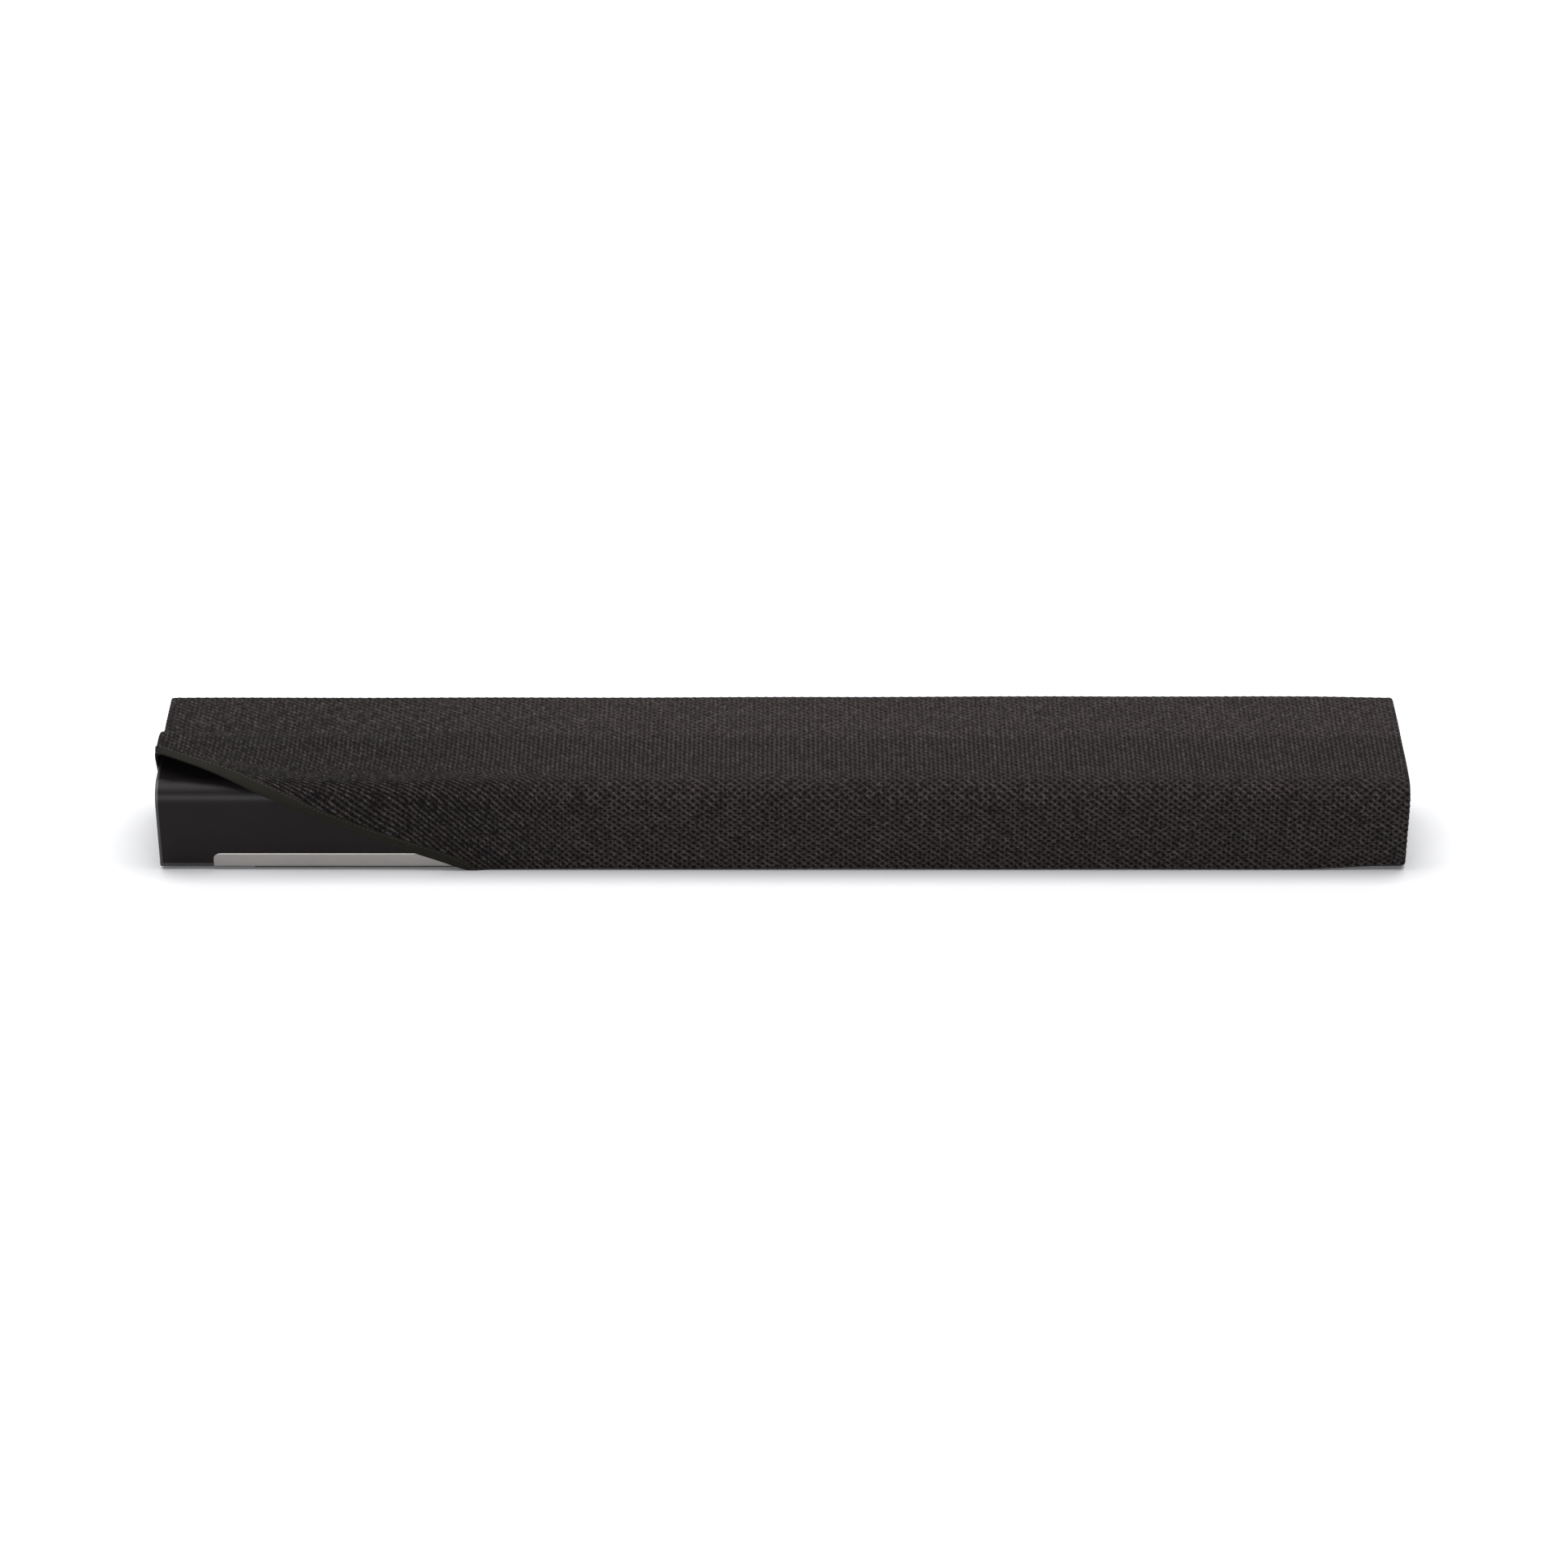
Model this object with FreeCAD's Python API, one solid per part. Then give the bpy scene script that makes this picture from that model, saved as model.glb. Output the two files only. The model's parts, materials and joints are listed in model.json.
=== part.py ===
import FreeCAD, Part
import math

# A long soundbar that stands on a shelf, with a slip-on knit cover over it.
# Millimetres. The origin is on the table under the middle of the bar, +Z is up, the bar runs along X,
# and its front faces -Y. The cover's front left corner is still pulled up, so its edge runs aslant there.

Vector = FreeCAD.Vector

# ---------------------------------------------------------------- driving dimensions

LENGTH = 900.0
BACK_Y = 70.0
TOP_Z = 85.0
FOOT_HEIGHT = 2.5

FRONT_FOOT_Y = -53.0  # where the front face meets the underside
NOSE_CORNER = (-74.7, 70.2)  # where the front face and the sloping top would meet without the rounding
NOSE_RADIUS = 14.6
CREASE = (5.0, 80.0)  # the shallow ridge along the top, where the cloth ends and the housing begins
BACK_RADIUS = 4.0
EDGE_RADIUS = 1.0

WALL = 3.0
CLOTH_THICKNESS = 0.6
GRILLE_DEPTH = 2.8  # from the outer surface to the inside of the grille frame
LEDGE_DEPTH = 5.8

CAP_PLATE = 2.0
CAP_CHAMFER = 0.6
CAP_PLUG = 8.0
PLUG_ROOT = 0.5  # how far the plug's wall runs into the plate
PLUG_OUTSIDE = 3.1
PLUG_INSIDE = 5.5
INNER_HALF = 436.0  # half the length of everything between the end caps' plugs

BAFFLE_FOOT = (-46.5, 6.5)
BAFFLE_TILT = 25.0
BAFFLE_HEIGHT = 70.0
BAFFLE_THICKNESS = 5.0
GASKET_THICKNESS = 1.5
FLANGE_THICKNESS = 4.0
FLANGE_HEIGHT = 8.0
DRIVER_HEIGHT = 36.0  # driver centres, measured up the baffle

WOOFER_X = (-350.0, -180.0, -70.0, 70.0, 180.0, 350.0)
WOOFER_RADIUS = 33.0
WOOFER_HOLE = 29.2
TWEETER_X = (-412.0, 0.0, 412.0)
TWEETER_RADIUS = 20.0
TWEETER_HOLE = 15.4

BAND_HALF = 411.0
BAND_HEIGHT = 11.5
BAND_THICKNESS = 0.8
BAND_CORNER = 5.2
BAND_CHAMFER = 0.35
BAND_RISE = 0.9  # from the front face's foot to the band's lower edge

FOOT_HALF = 384.0
FOOT_WIDTH = 12.0
FOOT_Y = (-42.0, 54.0)

PORT_HALF = 75.0
PORT_LOW = 20.0
PORT_HIGH = 62.0
PORT_DEPTH = 22.0

INSERT_X = 220.0
INSERT_Y = (-10.0, 50.0)
INSERT_RADIUS = 2.5
INSERT_LENGTH = 8.0

BUTTON_Y = {"volume_up_button": 25.0, "mute_button": 0.0, "volume_down_button": -25.0}
BUTTON_Z = 45.0
BUTTON_SIZE = (14.0, 8.0)
BUTTON_GAP = 0.4

COVER_GAP = 0.4
COVER_THICKNESS = 1.0
TAPE_THICKNESS = 0.5
TAPE_WIDTH = 9.0
COVER_LOW = 1.0
COVER_WINDOW = (85.0, 12.0, 70.0)  # half width, low edge and high edge of the opening for the leads
PEEL_TILT = 21.0  # the pulled-up edge is straight when looked at from this much above the front
PEEL_HIGH = (-452.5, 64.7)  # x, and height square to that line of sight
PEEL_LOW = (-239.0, -24.5)
END_PEEL_HIGH = (-22.0, 79.0)
END_PEEL_LOW = (34.0, 0.0)

HALF = LENGTH / 2
SHELL_HALF = HALF - CAP_PLATE
FAR = 400.0
HAIR = 0.01  # tolerance for picking out edges on a face
OVERRUN = 1.0  # how far a cutting tool runs past the face it cuts
EVERYWHERE = (-2 * FAR, 2 * FAR)
X_AXIS = Vector(1, 0, 0)
Y_AXIS = Vector(0, 1, 0)
Z_AXIS = Vector(0, 0, 1)

# ---------------------------------------------------------------- helpers


def export(shape, name):
    shape.exportStep("parts/" + name + ".step")


def box(x, y, z):
    """A box from (low, high) pairs."""
    return Part.makeBox(x[1] - x[0], y[1] - y[0], z[1] - z[0], Vector(x[0], y[0], z[0]))


def fuse(shapes):
    shape = shapes[0].multiFuse(list(shapes[1:])) if len(shapes) > 1 else shapes[0]
    return shape.removeSplitter()


def x_prism(corners, low, high):
    """A straight-sided section in Y and Z, extruded along X."""
    points = [Vector(low, y, z) for y, z in corners]
    wire = Part.makePolygon(points + points[:1])
    return Part.Face(wire).extrude(Vector(high - low, 0, 0))


def inset_corners(corners, inset):
    """Corners of the anticlockwise outline whose sides all move inwards by inset."""
    lines = []
    for start, end in zip(corners, corners[1:] + corners[:1]):
        length = math.dist(start, end)
        along = ((end[0] - start[0]) / length, (end[1] - start[1]) / length)
        lines.append(((start[0] - along[1] * inset, start[1] + along[0] * inset), along))
    moved = []
    for (p, a), (q, b) in zip(lines[-1:] + lines[:-1], lines):
        cross = a[0] * b[1] - a[1] * b[0]
        reach = ((q[0] - p[0]) * b[1] - (q[1] - p[1]) * b[0]) / cross
        moved.append((p[0] + a[0] * reach, p[1] + a[1] * reach))
    return moved


def rounded_wire(corners, radii, x):
    """A closed wire at x through the corners, each rounded with its own tangent arc."""
    points = [Vector(x, y, z) for y, z in corners]
    ends = []
    for i, corner in enumerate(points):
        back = (points[i - 1] - corner).normalize()
        ahead = (points[(i + 1) % len(points)] - corner).normalize()
        if radii[i] <= 0:
            ends.append((corner, None, corner))
            continue
        half_angle = back.getAngle(ahead) / 2
        run = radii[i] / math.tan(half_angle)
        bisector = (back + ahead).normalize()
        middle = corner + bisector * (radii[i] / math.sin(half_angle) - radii[i])
        ends.append((corner + back * run, middle, corner + ahead * run))
    edges = []
    for i, (start, middle, end) in enumerate(ends):
        if middle is not None:
            edges.append(Part.Arc(start, middle, end).toShape())
        following = ends[(i + 1) % len(ends)][0]
        edges.append(Part.LineSegment(end, following).toShape())
    return Part.Wire(edges)


BODY_CORNERS = [
    (FRONT_FOOT_Y, FOOT_HEIGHT),
    (BACK_Y, FOOT_HEIGHT),
    (BACK_Y, TOP_Z),
    CREASE,
    NOSE_CORNER,
]
BODY_RADII = [EDGE_RADIUS, BACK_RADIUS, BACK_RADIUS, 0.0, NOSE_RADIUS]


def body_prism(inset, low, high):
    """The bar's whole section, its surface moved inwards by inset, between two x."""
    corners = inset_corners(BODY_CORNERS, inset)
    radii = [max(r - inset, 0.0) for r in BODY_RADII]
    return Part.Face(rounded_wire(corners, radii, low)).extrude(Vector(high - low, 0, 0))


def body_ring(outside, inside, half):
    return body_prism(outside, -half, half).cut(body_prism(inside, -half - OVERRUN, half + OVERRUN))


TILT = math.radians(BAFFLE_TILT)
BAFFLE_UP = Vector(0, math.sin(TILT), math.cos(TILT))
BAFFLE_OUT = Vector(0, -math.cos(TILT), math.sin(TILT))


def on_baffle(x, up, out):
    """A point at x, up the baffle's back face from its foot and out towards the front."""
    return Vector(x, BAFFLE_FOOT[0], BAFFLE_FOOT[1]) + BAFFLE_UP * up + BAFFLE_OUT * out


def baffle_slab(x, up, out):
    """A block with sides parallel to the baffle, from (low, high) pairs."""
    steps = ((up[0], out[0]), (up[1], out[0]), (up[1], out[1]), (up[0], out[1]))
    corners = [on_baffle(0, u, w) for u, w in steps]
    return x_prism([(c.y, c.z) for c in corners], x[0], x[1])


def baffle_disc(x, radius, low, high, up=DRIVER_HEIGHT):
    """A cylinder square to the baffle, from low to high out of its back face."""
    return Part.makeCylinder(radius, high - low, on_baffle(x, up, low), BAFFLE_OUT)


def baffle_lathe(x, section):
    """A solid of revolution about a driver's axis. The section lists (radius, out) corners."""
    points = [Vector(radius, 0, out) for radius, out in section]
    face = Part.Face(Part.makePolygon(points + points[:1]))
    solid = face.revolve(Vector(0, 0, 0), Z_AXIS, 360)
    turn = FreeCAD.Rotation(Z_AXIS, BAFFLE_OUT)
    solid.Placement = FreeCAD.Placement(on_baffle(x, DRIVER_HEIGHT, 0), turn)
    return solid


# ---------------------------------------------------------------- screws

SCREW_RADIUS = 1.3
SCREW_HOLE = 1.35
SCREW_HEAD = 2.6
SCREW_HEAD_HEIGHT = 1.6
SOCKET_RADIUS = 1.1
SOCKET_DEPTH = 0.9
WOOFER_FLANGE_FRONT = BAFFLE_THICKNESS + 2.5
TWEETER_FLANGE_FRONT = BAFFLE_THICKNESS + 3.0
SCREW_LENGTH = 7.0
SCREW_FILLET = 0.5
WOOFER_SCREW_RING = WOOFER_RADIUS - 2.4
TWEETER_SCREW_RING = TWEETER_RADIUS - 2.6
BAFFLE_SCREW_X = (-298.0, -125.0, 125.0, 298.0)
BAFFLE_SCREW_UP = (4.0, 66.0)


def screw_ring(x, radius):
    """Four places round a driver, as (x, distance up the baffle)."""
    places = []
    for quarter in range(4):
        angle = math.radians(45 + 90 * quarter)
        places.append((x + radius * math.cos(angle), DRIVER_HEIGHT + radius * math.sin(angle)))
    return places


WOOFER_SCREWS = [place for x in WOOFER_X for place in screw_ring(x, WOOFER_SCREW_RING)]
TWEETER_SCREWS = [place for x in TWEETER_X for place in screw_ring(x, TWEETER_SCREW_RING)]
BAFFLE_SCREWS = [(x, up) for x in BAFFLE_SCREW_X for up in BAFFLE_SCREW_UP]


def screw(place, seat):
    """A pan-head screw with a hexagon socket, its head resting at seat."""
    x, up = place
    head = Part.makeCylinder(SCREW_HEAD, SCREW_HEAD_HEIGHT, on_baffle(x, up, seat), BAFFLE_OUT)
    head = head.makeFillet(SCREW_FILLET, [head.Edges[0]])
    shank = Part.makeCylinder(SCREW_RADIUS, SCREW_LENGTH, on_baffle(x, up, seat), BAFFLE_OUT * -1)
    top = seat + SCREW_HEAD_HEIGHT
    socket = baffle_disc(x, SOCKET_RADIUS, top - SOCKET_DEPTH, top + OVERRUN, up)
    return head.fuse(shank).cut(socket).removeSplitter()


def screw_hole(place, low, high):
    return baffle_disc(place[0], SCREW_HOLE, low, high, place[1])


def make_screws():
    seats = [(place, WOOFER_FLANGE_FRONT) for place in WOOFER_SCREWS]
    seats += [(place, TWEETER_FLANGE_FRONT) for place in TWEETER_SCREWS]
    export(Part.makeCompound([screw(place, seat) for place, seat in seats]), "driver_screws")
    export(Part.makeCompound([screw(place, BAFFLE_THICKNESS) for place in BAFFLE_SCREWS]), "baffle_screws")


# ---------------------------------------------------------------- housing and front


def port_pocket(wall):
    """The box round the rear port recess, grown by wall on its four sides."""
    return box(
        (-PORT_HALF - wall, PORT_HALF + wall),
        (BACK_Y - PORT_DEPTH, BACK_Y),
        (PORT_LOW - wall, PORT_HIGH + wall),
    )


def insert_places():
    return [(x, y) for x in (-INSERT_X, INSERT_X) for y in INSERT_Y]


INSERT_SLEEVE = 4.0
BOSS_RADIUS = 7.0
BOSS_ROOF = 2.0
POCKET_WALL = 2.0
LEDGE_FRONT_Y = -19.0
LEDGE_BACK_Y = CREASE[0] + 4.0
LEDGE_LOW = 60.0
LOW_FLANGE_FOOT = -1.5
TOP_FLANGE_RISE = 4.0  # how far the upper flange runs past the baffle, into the top wall
FLANGE_BACK = -GASKET_THICKNESS - FLANGE_THICKNESS


def make_rear_housing():
    """Back, top and underside in one shell, with the ledge and flanges that carry the baffle."""
    shell = body_ring(0, WALL, SHELL_HALF)
    front_zone = box(EVERYWHERE, (-FAR, CREASE[0]), (FOOT_HEIGHT + WALL, FAR))
    shell = shell.cut(front_zone)
    ledge = body_ring(GRILLE_DEPTH, LEDGE_DEPTH, INNER_HALF)
    ledge = ledge.common(box(EVERYWHERE, (LEDGE_FRONT_Y, LEDGE_BACK_Y), (LEDGE_LOW, FAR)))
    span = (-INNER_HALF, INNER_HALF)
    depth = (FLANGE_BACK, -GASKET_THICKNESS)
    top_flange = baffle_slab(span, (BAFFLE_HEIGHT - FLANGE_HEIGHT, BAFFLE_HEIGHT + TOP_FLANGE_RISE), depth)
    low_flange = baffle_slab(span, (LOW_FLANGE_FOOT, FLANGE_HEIGHT), depth)
    top_flange = top_flange.common(body_prism(GRILLE_DEPTH, -INNER_HALF, INNER_HALF))
    bosses = [
        Part.makeCylinder(BOSS_RADIUS, INSERT_LENGTH + BOSS_ROOF, Vector(x, y, FOOT_HEIGHT))
        for x, y in insert_places()
    ]
    shell = fuse([shell, ledge, top_flange, low_flange, port_pocket(POCKET_WALL)] + bosses)
    through_back = (BACK_Y - BACK_RADIUS - OVERRUN, BACK_Y + OVERRUN)
    mouth = box((-PORT_HALF, PORT_HALF), through_back, (PORT_LOW, PORT_HIGH))
    shell = shell.cut(port_pocket(0).fuse(mouth))
    for x, y in insert_places():
        shell = shell.cut(Part.makeCylinder(INSERT_SLEEVE, INSERT_LENGTH, Vector(x, y, FOOT_HEIGHT)))
    for place in BAFFLE_SCREWS:
        shell = shell.cut(screw_hole(place, FLANGE_BACK - OVERRUN, 0))
    export(shell.removeSplitter(), "rear_housing")


def make_bracket_inserts():
    """Brass threaded inserts in the underside, for a wall or table bracket."""
    inserts = []
    for x, y in insert_places():
        low = Vector(x, y, FOOT_HEIGHT)
        sleeve = Part.makeCylinder(INSERT_SLEEVE, INSERT_LENGTH, low)
        inserts.append(sleeve.cut(Part.makeCylinder(INSERT_RADIUS, INSERT_LENGTH, low)))
    export(Part.makeCompound(inserts), "bracket_inserts")


def make_front_baffle():
    plate = baffle_slab((-INNER_HALF, INNER_HALF), (0, BAFFLE_HEIGHT), (0, BAFFLE_THICKNESS))
    depth = (-OVERRUN, BAFFLE_THICKNESS + OVERRUN)
    holes = [baffle_disc(x, WOOFER_HOLE, *depth) for x in WOOFER_X]
    holes += [baffle_disc(x, TWEETER_HOLE, *depth) for x in TWEETER_X]
    holes += [screw_hole(place, *depth) for place in WOOFER_SCREWS + TWEETER_SCREWS + BAFFLE_SCREWS]
    export(plate.cut(Part.makeCompound(holes)), "front_baffle")


def make_baffle_gasket():
    """The foam seal between the baffle and the housing's two flanges."""
    strips = []
    for up in ((0, FLANGE_HEIGHT), (BAFFLE_HEIGHT - FLANGE_HEIGHT, BAFFLE_HEIGHT)):
        strip = baffle_slab((-INNER_HALF, INNER_HALF), up, (-GASKET_THICKNESS, 0))
        strips.append(strip)
    seal = Part.makeCompound(strips)
    holes = [screw_hole(place, -GASKET_THICKNESS - OVERRUN, OVERRUN) for place in BAFFLE_SCREWS]
    export(seal.cut(Part.makeCompound(holes)), "baffle_gasket")


SLOT_PITCH = 14.0
SLOT_WIDTH = 8.0
SLOT_COUNT = 61
FRONT_SLOT_BACK_Y = -40.0
FRONT_SLOT_Z = (17.0, 52.0)
TOP_SLOT_Y = (-50.0, -26.0)
TOP_SLOT_LOW = 60.0


def front_skin(outside, inside):
    """The curved skin from the crease, round the nose and down to the underside."""
    ring = body_ring(outside, inside, SHELL_HALF)
    return ring.common(box(EVERYWHERE, (-FAR, CREASE[0]), (FOOT_HEIGHT + WALL, FAR)))


def make_grille():
    """A stiff slotted frame with acoustic cloth stretched over it."""
    frame = front_skin(CLOTH_THICKNESS, GRILLE_DEPTH)
    first = -(SLOT_COUNT - 1) / 2 * SLOT_PITCH
    slots = []
    for i in range(SLOT_COUNT):
        x = first + i * SLOT_PITCH
        across = (x - SLOT_WIDTH / 2, x + SLOT_WIDTH / 2)
        slots.append(box(across, (-FAR, FRONT_SLOT_BACK_Y), FRONT_SLOT_Z))
        slots.append(box(across, TOP_SLOT_Y, (TOP_SLOT_LOW, FAR)))
    export(frame.cut(Part.makeCompound(slots)), "grille_frame")
    export(front_skin(0, CLOTH_THICKNESS), "grille_cloth")


def front_face_frame():
    """The front face's foot, the direction up the face, and its outward normal."""
    foot = Vector(0, FRONT_FOOT_Y, FOOT_HEIGHT)
    up = Vector(0, NOSE_CORNER[0] - FRONT_FOOT_Y, NOSE_CORNER[1] - FOOT_HEIGHT).normalize()
    return foot, up, Vector(0, -up.z, up.y)


def make_trim_band():
    """The silver band along the foot of the front face, its two upper corners rounded."""
    foot, up, out = front_face_frame()

    def at(x, rise):
        return foot + X_AXIS * x + up * rise

    low = BAND_RISE
    high = low + BAND_HEIGHT
    diagonal = BAND_CORNER * (1 - math.sqrt(0.5))
    inner = BAND_HALF - BAND_CORNER
    edges = [
        Part.LineSegment(at(-BAND_HALF, low), at(BAND_HALF, low)).toShape(),
        Part.LineSegment(at(BAND_HALF, low), at(BAND_HALF, high - BAND_CORNER)).toShape(),
        Part.Arc(
            at(BAND_HALF, high - BAND_CORNER),
            at(BAND_HALF - diagonal, high - diagonal),
            at(inner, high),
        ).toShape(),
        Part.LineSegment(at(inner, high), at(-inner, high)).toShape(),
        Part.Arc(
            at(-inner, high),
            at(-BAND_HALF + diagonal, high - diagonal),
            at(-BAND_HALF, high - BAND_CORNER),
        ).toShape(),
        Part.LineSegment(at(-BAND_HALF, high - BAND_CORNER), at(-BAND_HALF, low)).toShape(),
    ]
    band = Part.Face(Part.Wire(edges)).extrude(out * BAND_THICKNESS)
    outer_edges = []
    for edge in band.Edges:
        centre = edge.CenterOfMass
        on_front = (centre - foot).dot(out) > BAND_THICKNESS - HAIR
        if on_front:
            outer_edges.append(edge)
    export(band.makeChamfer(BAND_CHAMFER, outer_edges), "trim_band")


def make_foot_strips():
    """Two long rubber feet with slanted tips."""
    strips = []
    for y in FOOT_Y:
        low = y - FOOT_WIDTH / 2
        points = [
            Vector(-FOOT_HALF, low, FOOT_HEIGHT),
            Vector(FOOT_HALF, low, FOOT_HEIGHT),
            Vector(FOOT_HALF - FOOT_HEIGHT, low, 0),
            Vector(-FOOT_HALF + FOOT_HEIGHT, low, 0),
        ]
        side = Part.Face(Part.makePolygon(points + points[:1]))
        strips.append(side.extrude(Vector(0, FOOT_WIDTH, 0)))
    export(Part.makeCompound(strips), "foot_strips")


# ---------------------------------------------------------------- end caps and buttons


def pill(y, z, width, height, low, high):
    """A flat-sided block with half-round ends, its length along Y, between two x."""
    run = width / 2 - height / 2
    middle = box((low, high), (y - run, y + run), (z - height / 2, z + height / 2))
    ends = [
        Part.makeCylinder(height / 2, high - low, Vector(low, y + side * run, z), X_AXIS)
        for side in (-1, 1)
    ]
    return fuse([middle] + ends)


def make_end_cap(side, name):
    """A thin plate over the end of the bar, with a plug that fits inside its shell."""
    plate = body_prism(0, SHELL_HALF, HALF)
    rim = [edge for edge in plate.Edges if edge.BoundBox.XMin > HALF - HAIR]
    plate = plate.makeChamfer(CAP_CHAMFER, rim)
    plug = body_prism(PLUG_OUTSIDE, HALF - CAP_PLUG, SHELL_HALF + PLUG_ROOT)
    plug = plug.cut(body_prism(PLUG_INSIDE, HALF - CAP_PLUG - OVERRUN, SHELL_HALF))
    cap = plate.fuse(plug).removeSplitter()
    if side < 0:
        cap = cap.mirror(Vector(0, 0, 0), X_AXIS)
    else:
        width, height = BUTTON_SIZE
        for y in BUTTON_Y.values():
            size = (width + 2 * BUTTON_GAP, height + 2 * BUTTON_GAP)
            cap = cap.cut(pill(y, BUTTON_Z, size[0], size[1], SHELL_HALF - OVERRUN, HALF + OVERRUN))
    export(cap, name)


BUTTON_FACE = HALF - 0.2  # the buttons' faces lie just below the plate's
BUTTON_BODY = 3.4
BUTTON_FLANGE = 1.3
BUTTON_OVERLAP = 4.0  # how much longer and wider the flange is than the button
BUTTON_FILLET = 0.5
STEM_RADIUS = 2.0
STEM_LENGTH = 4.0
SWITCH_GAP = 1.6


def make_buttons():
    """Three push buttons in the right end cap, each held in by a flange behind the plate."""
    width, height = BUTTON_SIZE
    back = BUTTON_FACE - BUTTON_BODY
    for name, y in BUTTON_Y.items():
        key = pill(y, BUTTON_Z, width, height, back, BUTTON_FACE)
        rim = [edge for edge in key.Edges if edge.BoundBox.XMin > BUTTON_FACE - HAIR]
        key = key.makeFillet(BUTTON_FILLET, rim)
        wide = width + BUTTON_OVERLAP
        flange = pill(y, BUTTON_Z, wide, height + BUTTON_OVERLAP, back - BUTTON_FLANGE, back)
        root = Vector(back - BUTTON_FLANGE - STEM_LENGTH, y, BUTTON_Z)
        stem = Part.makeCylinder(STEM_RADIUS, STEM_LENGTH, root, X_AXIS)
        export(fuse([key, flange, stem]), name)


BOARD = 1.6
SWITCH_SIDE = 6.0
SWITCH_HEIGHT = 3.2
CONTROL_BOARD_Y = (-36.0, 36.0)
CONTROL_BOARD_Z = (34.0, 56.0)
CONTROL_BOARD_CLEARANCE = 8.0  # the board's corner is cut back this far behind the baffle


def make_control_board():
    stem_end = BUTTON_FACE - BUTTON_BODY - BUTTON_FLANGE - STEM_LENGTH
    switch_top = stem_end - SWITCH_GAP
    board_top = switch_top - SWITCH_HEIGHT
    board = box((board_top - BOARD, board_top), CONTROL_BOARD_Y, CONTROL_BOARD_Z)
    board = board.cut(baffle_slab(EVERYWHERE, (-FAR, FAR), (-CONTROL_BOARD_CLEARANCE, FAR)))
    export(board, "control_board")
    half = SWITCH_SIDE / 2
    switches = [
        box((board_top, switch_top), (y - half, y + half), (BUTTON_Z - half, BUTTON_Z + half))
        for y in BUTTON_Y.values()
    ]
    export(Part.makeCompound(switches), "tact_switches")


# ---------------------------------------------------------------- drivers

CONE_RADIUS = 22.0
CONE_FRONT = 3.0
CONE_NECK = -8.0
CONE_SKIN = 0.8
COIL_INNER = 8.8
COIL_OUTER = 9.5
COIL_END = -24.0
BASKET_BACK = -16.0
MAGNET_BACK = -30.0
BACKPLATE = 3.0
MAGNET_RADIUS = 20.0
POLE_RADIUS = 8.2
GAP_RADIUS = 10.2
ROLL_HEIGHT = 3.0
ROLL_SKIN = 0.8
ROLL_OUTER = 28.2
ROLL_SEAT = 2.0  # the surround's outer edge rests at this height, in a step of the frame
RIM_OUTER = 28.9
RIM_BACK = 25.6  # the frame's rim narrows to this behind the baffle
BASKET_RADIUS = 22.5
BASKET_SKIN = 1.5
BASKET_FLOOR = 2.0
BASKET_WINDOW = (60.0, 18.0, 8.0)
BASKET_WINDOW_RISE = 4.0
CAP_RADIUS = 9.4
CAP_HEIGHT = 6.0
CONE_EDGE = 20.4
SPIDER_BACK = -11.6
SPIDER_SKIN = 0.6
SPIDER_RIDGE = 1.0
SPIDER_RADII = (12.0, 14.5, 17.0, 20.4)


def woofer_frame(x):
    """A flange on the baffle's front, a rim through it, and a basket with four windows."""
    front = WOOFER_FLANGE_FRONT
    shell = baffle_lathe(
        x,
        [
            (ROLL_OUTER, front),
            (WOOFER_RADIUS, front),
            (WOOFER_RADIUS, BAFFLE_THICKNESS),
            (RIM_OUTER, BAFFLE_THICKNESS),
            (RIM_OUTER, 1.0),
            (RIM_BACK, 0.2),
            (BASKET_RADIUS, BASKET_BACK),
            (GAP_RADIUS + 1.0, BASKET_BACK),
            (GAP_RADIUS + 1.0, BASKET_BACK + BASKET_FLOOR),
            (BASKET_RADIUS - BASKET_SKIN, BASKET_BACK + BASKET_FLOOR),
            (RIM_BACK - BASKET_SKIN, 1.6),
            (ROLL_OUTER, ROLL_SEAT),
        ],
    )
    centre = on_baffle(x, DRIVER_HEIGHT, BASKET_BACK + BASKET_WINDOW_RISE)
    length, width, height = BASKET_WINDOW
    window = Part.makeBox(length, width, height, Vector(-length / 2, -width / 2, 0))
    turn = FreeCAD.Rotation(Z_AXIS, BAFFLE_OUT)
    for angle in (0, 90):
        spin = FreeCAD.Rotation(Z_AXIS, angle)
        cutter = window.copy()
        cutter.Placement = FreeCAD.Placement(centre, turn.multiply(spin))
        shell = shell.cut(cutter)
    holes = [screw_hole(place, -OVERRUN, front + OVERRUN) for place in screw_ring(x, WOOFER_SCREW_RING)]
    return shell.cut(Part.makeCompound(holes))


def woofer_magnet(x):
    """A ring magnet between plates, with a pole inside the coil."""
    return baffle_lathe(
        x,
        [
            (GAP_RADIUS, BASKET_BACK),
            (MAGNET_RADIUS, BASKET_BACK),
            (MAGNET_RADIUS, MAGNET_BACK - BACKPLATE),
            (0, MAGNET_BACK - BACKPLATE),
            (0, BASKET_BACK),
            (POLE_RADIUS, BASKET_BACK),
            (POLE_RADIUS, MAGNET_BACK),
            (GAP_RADIUS, MAGNET_BACK),
        ],
    )


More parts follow.
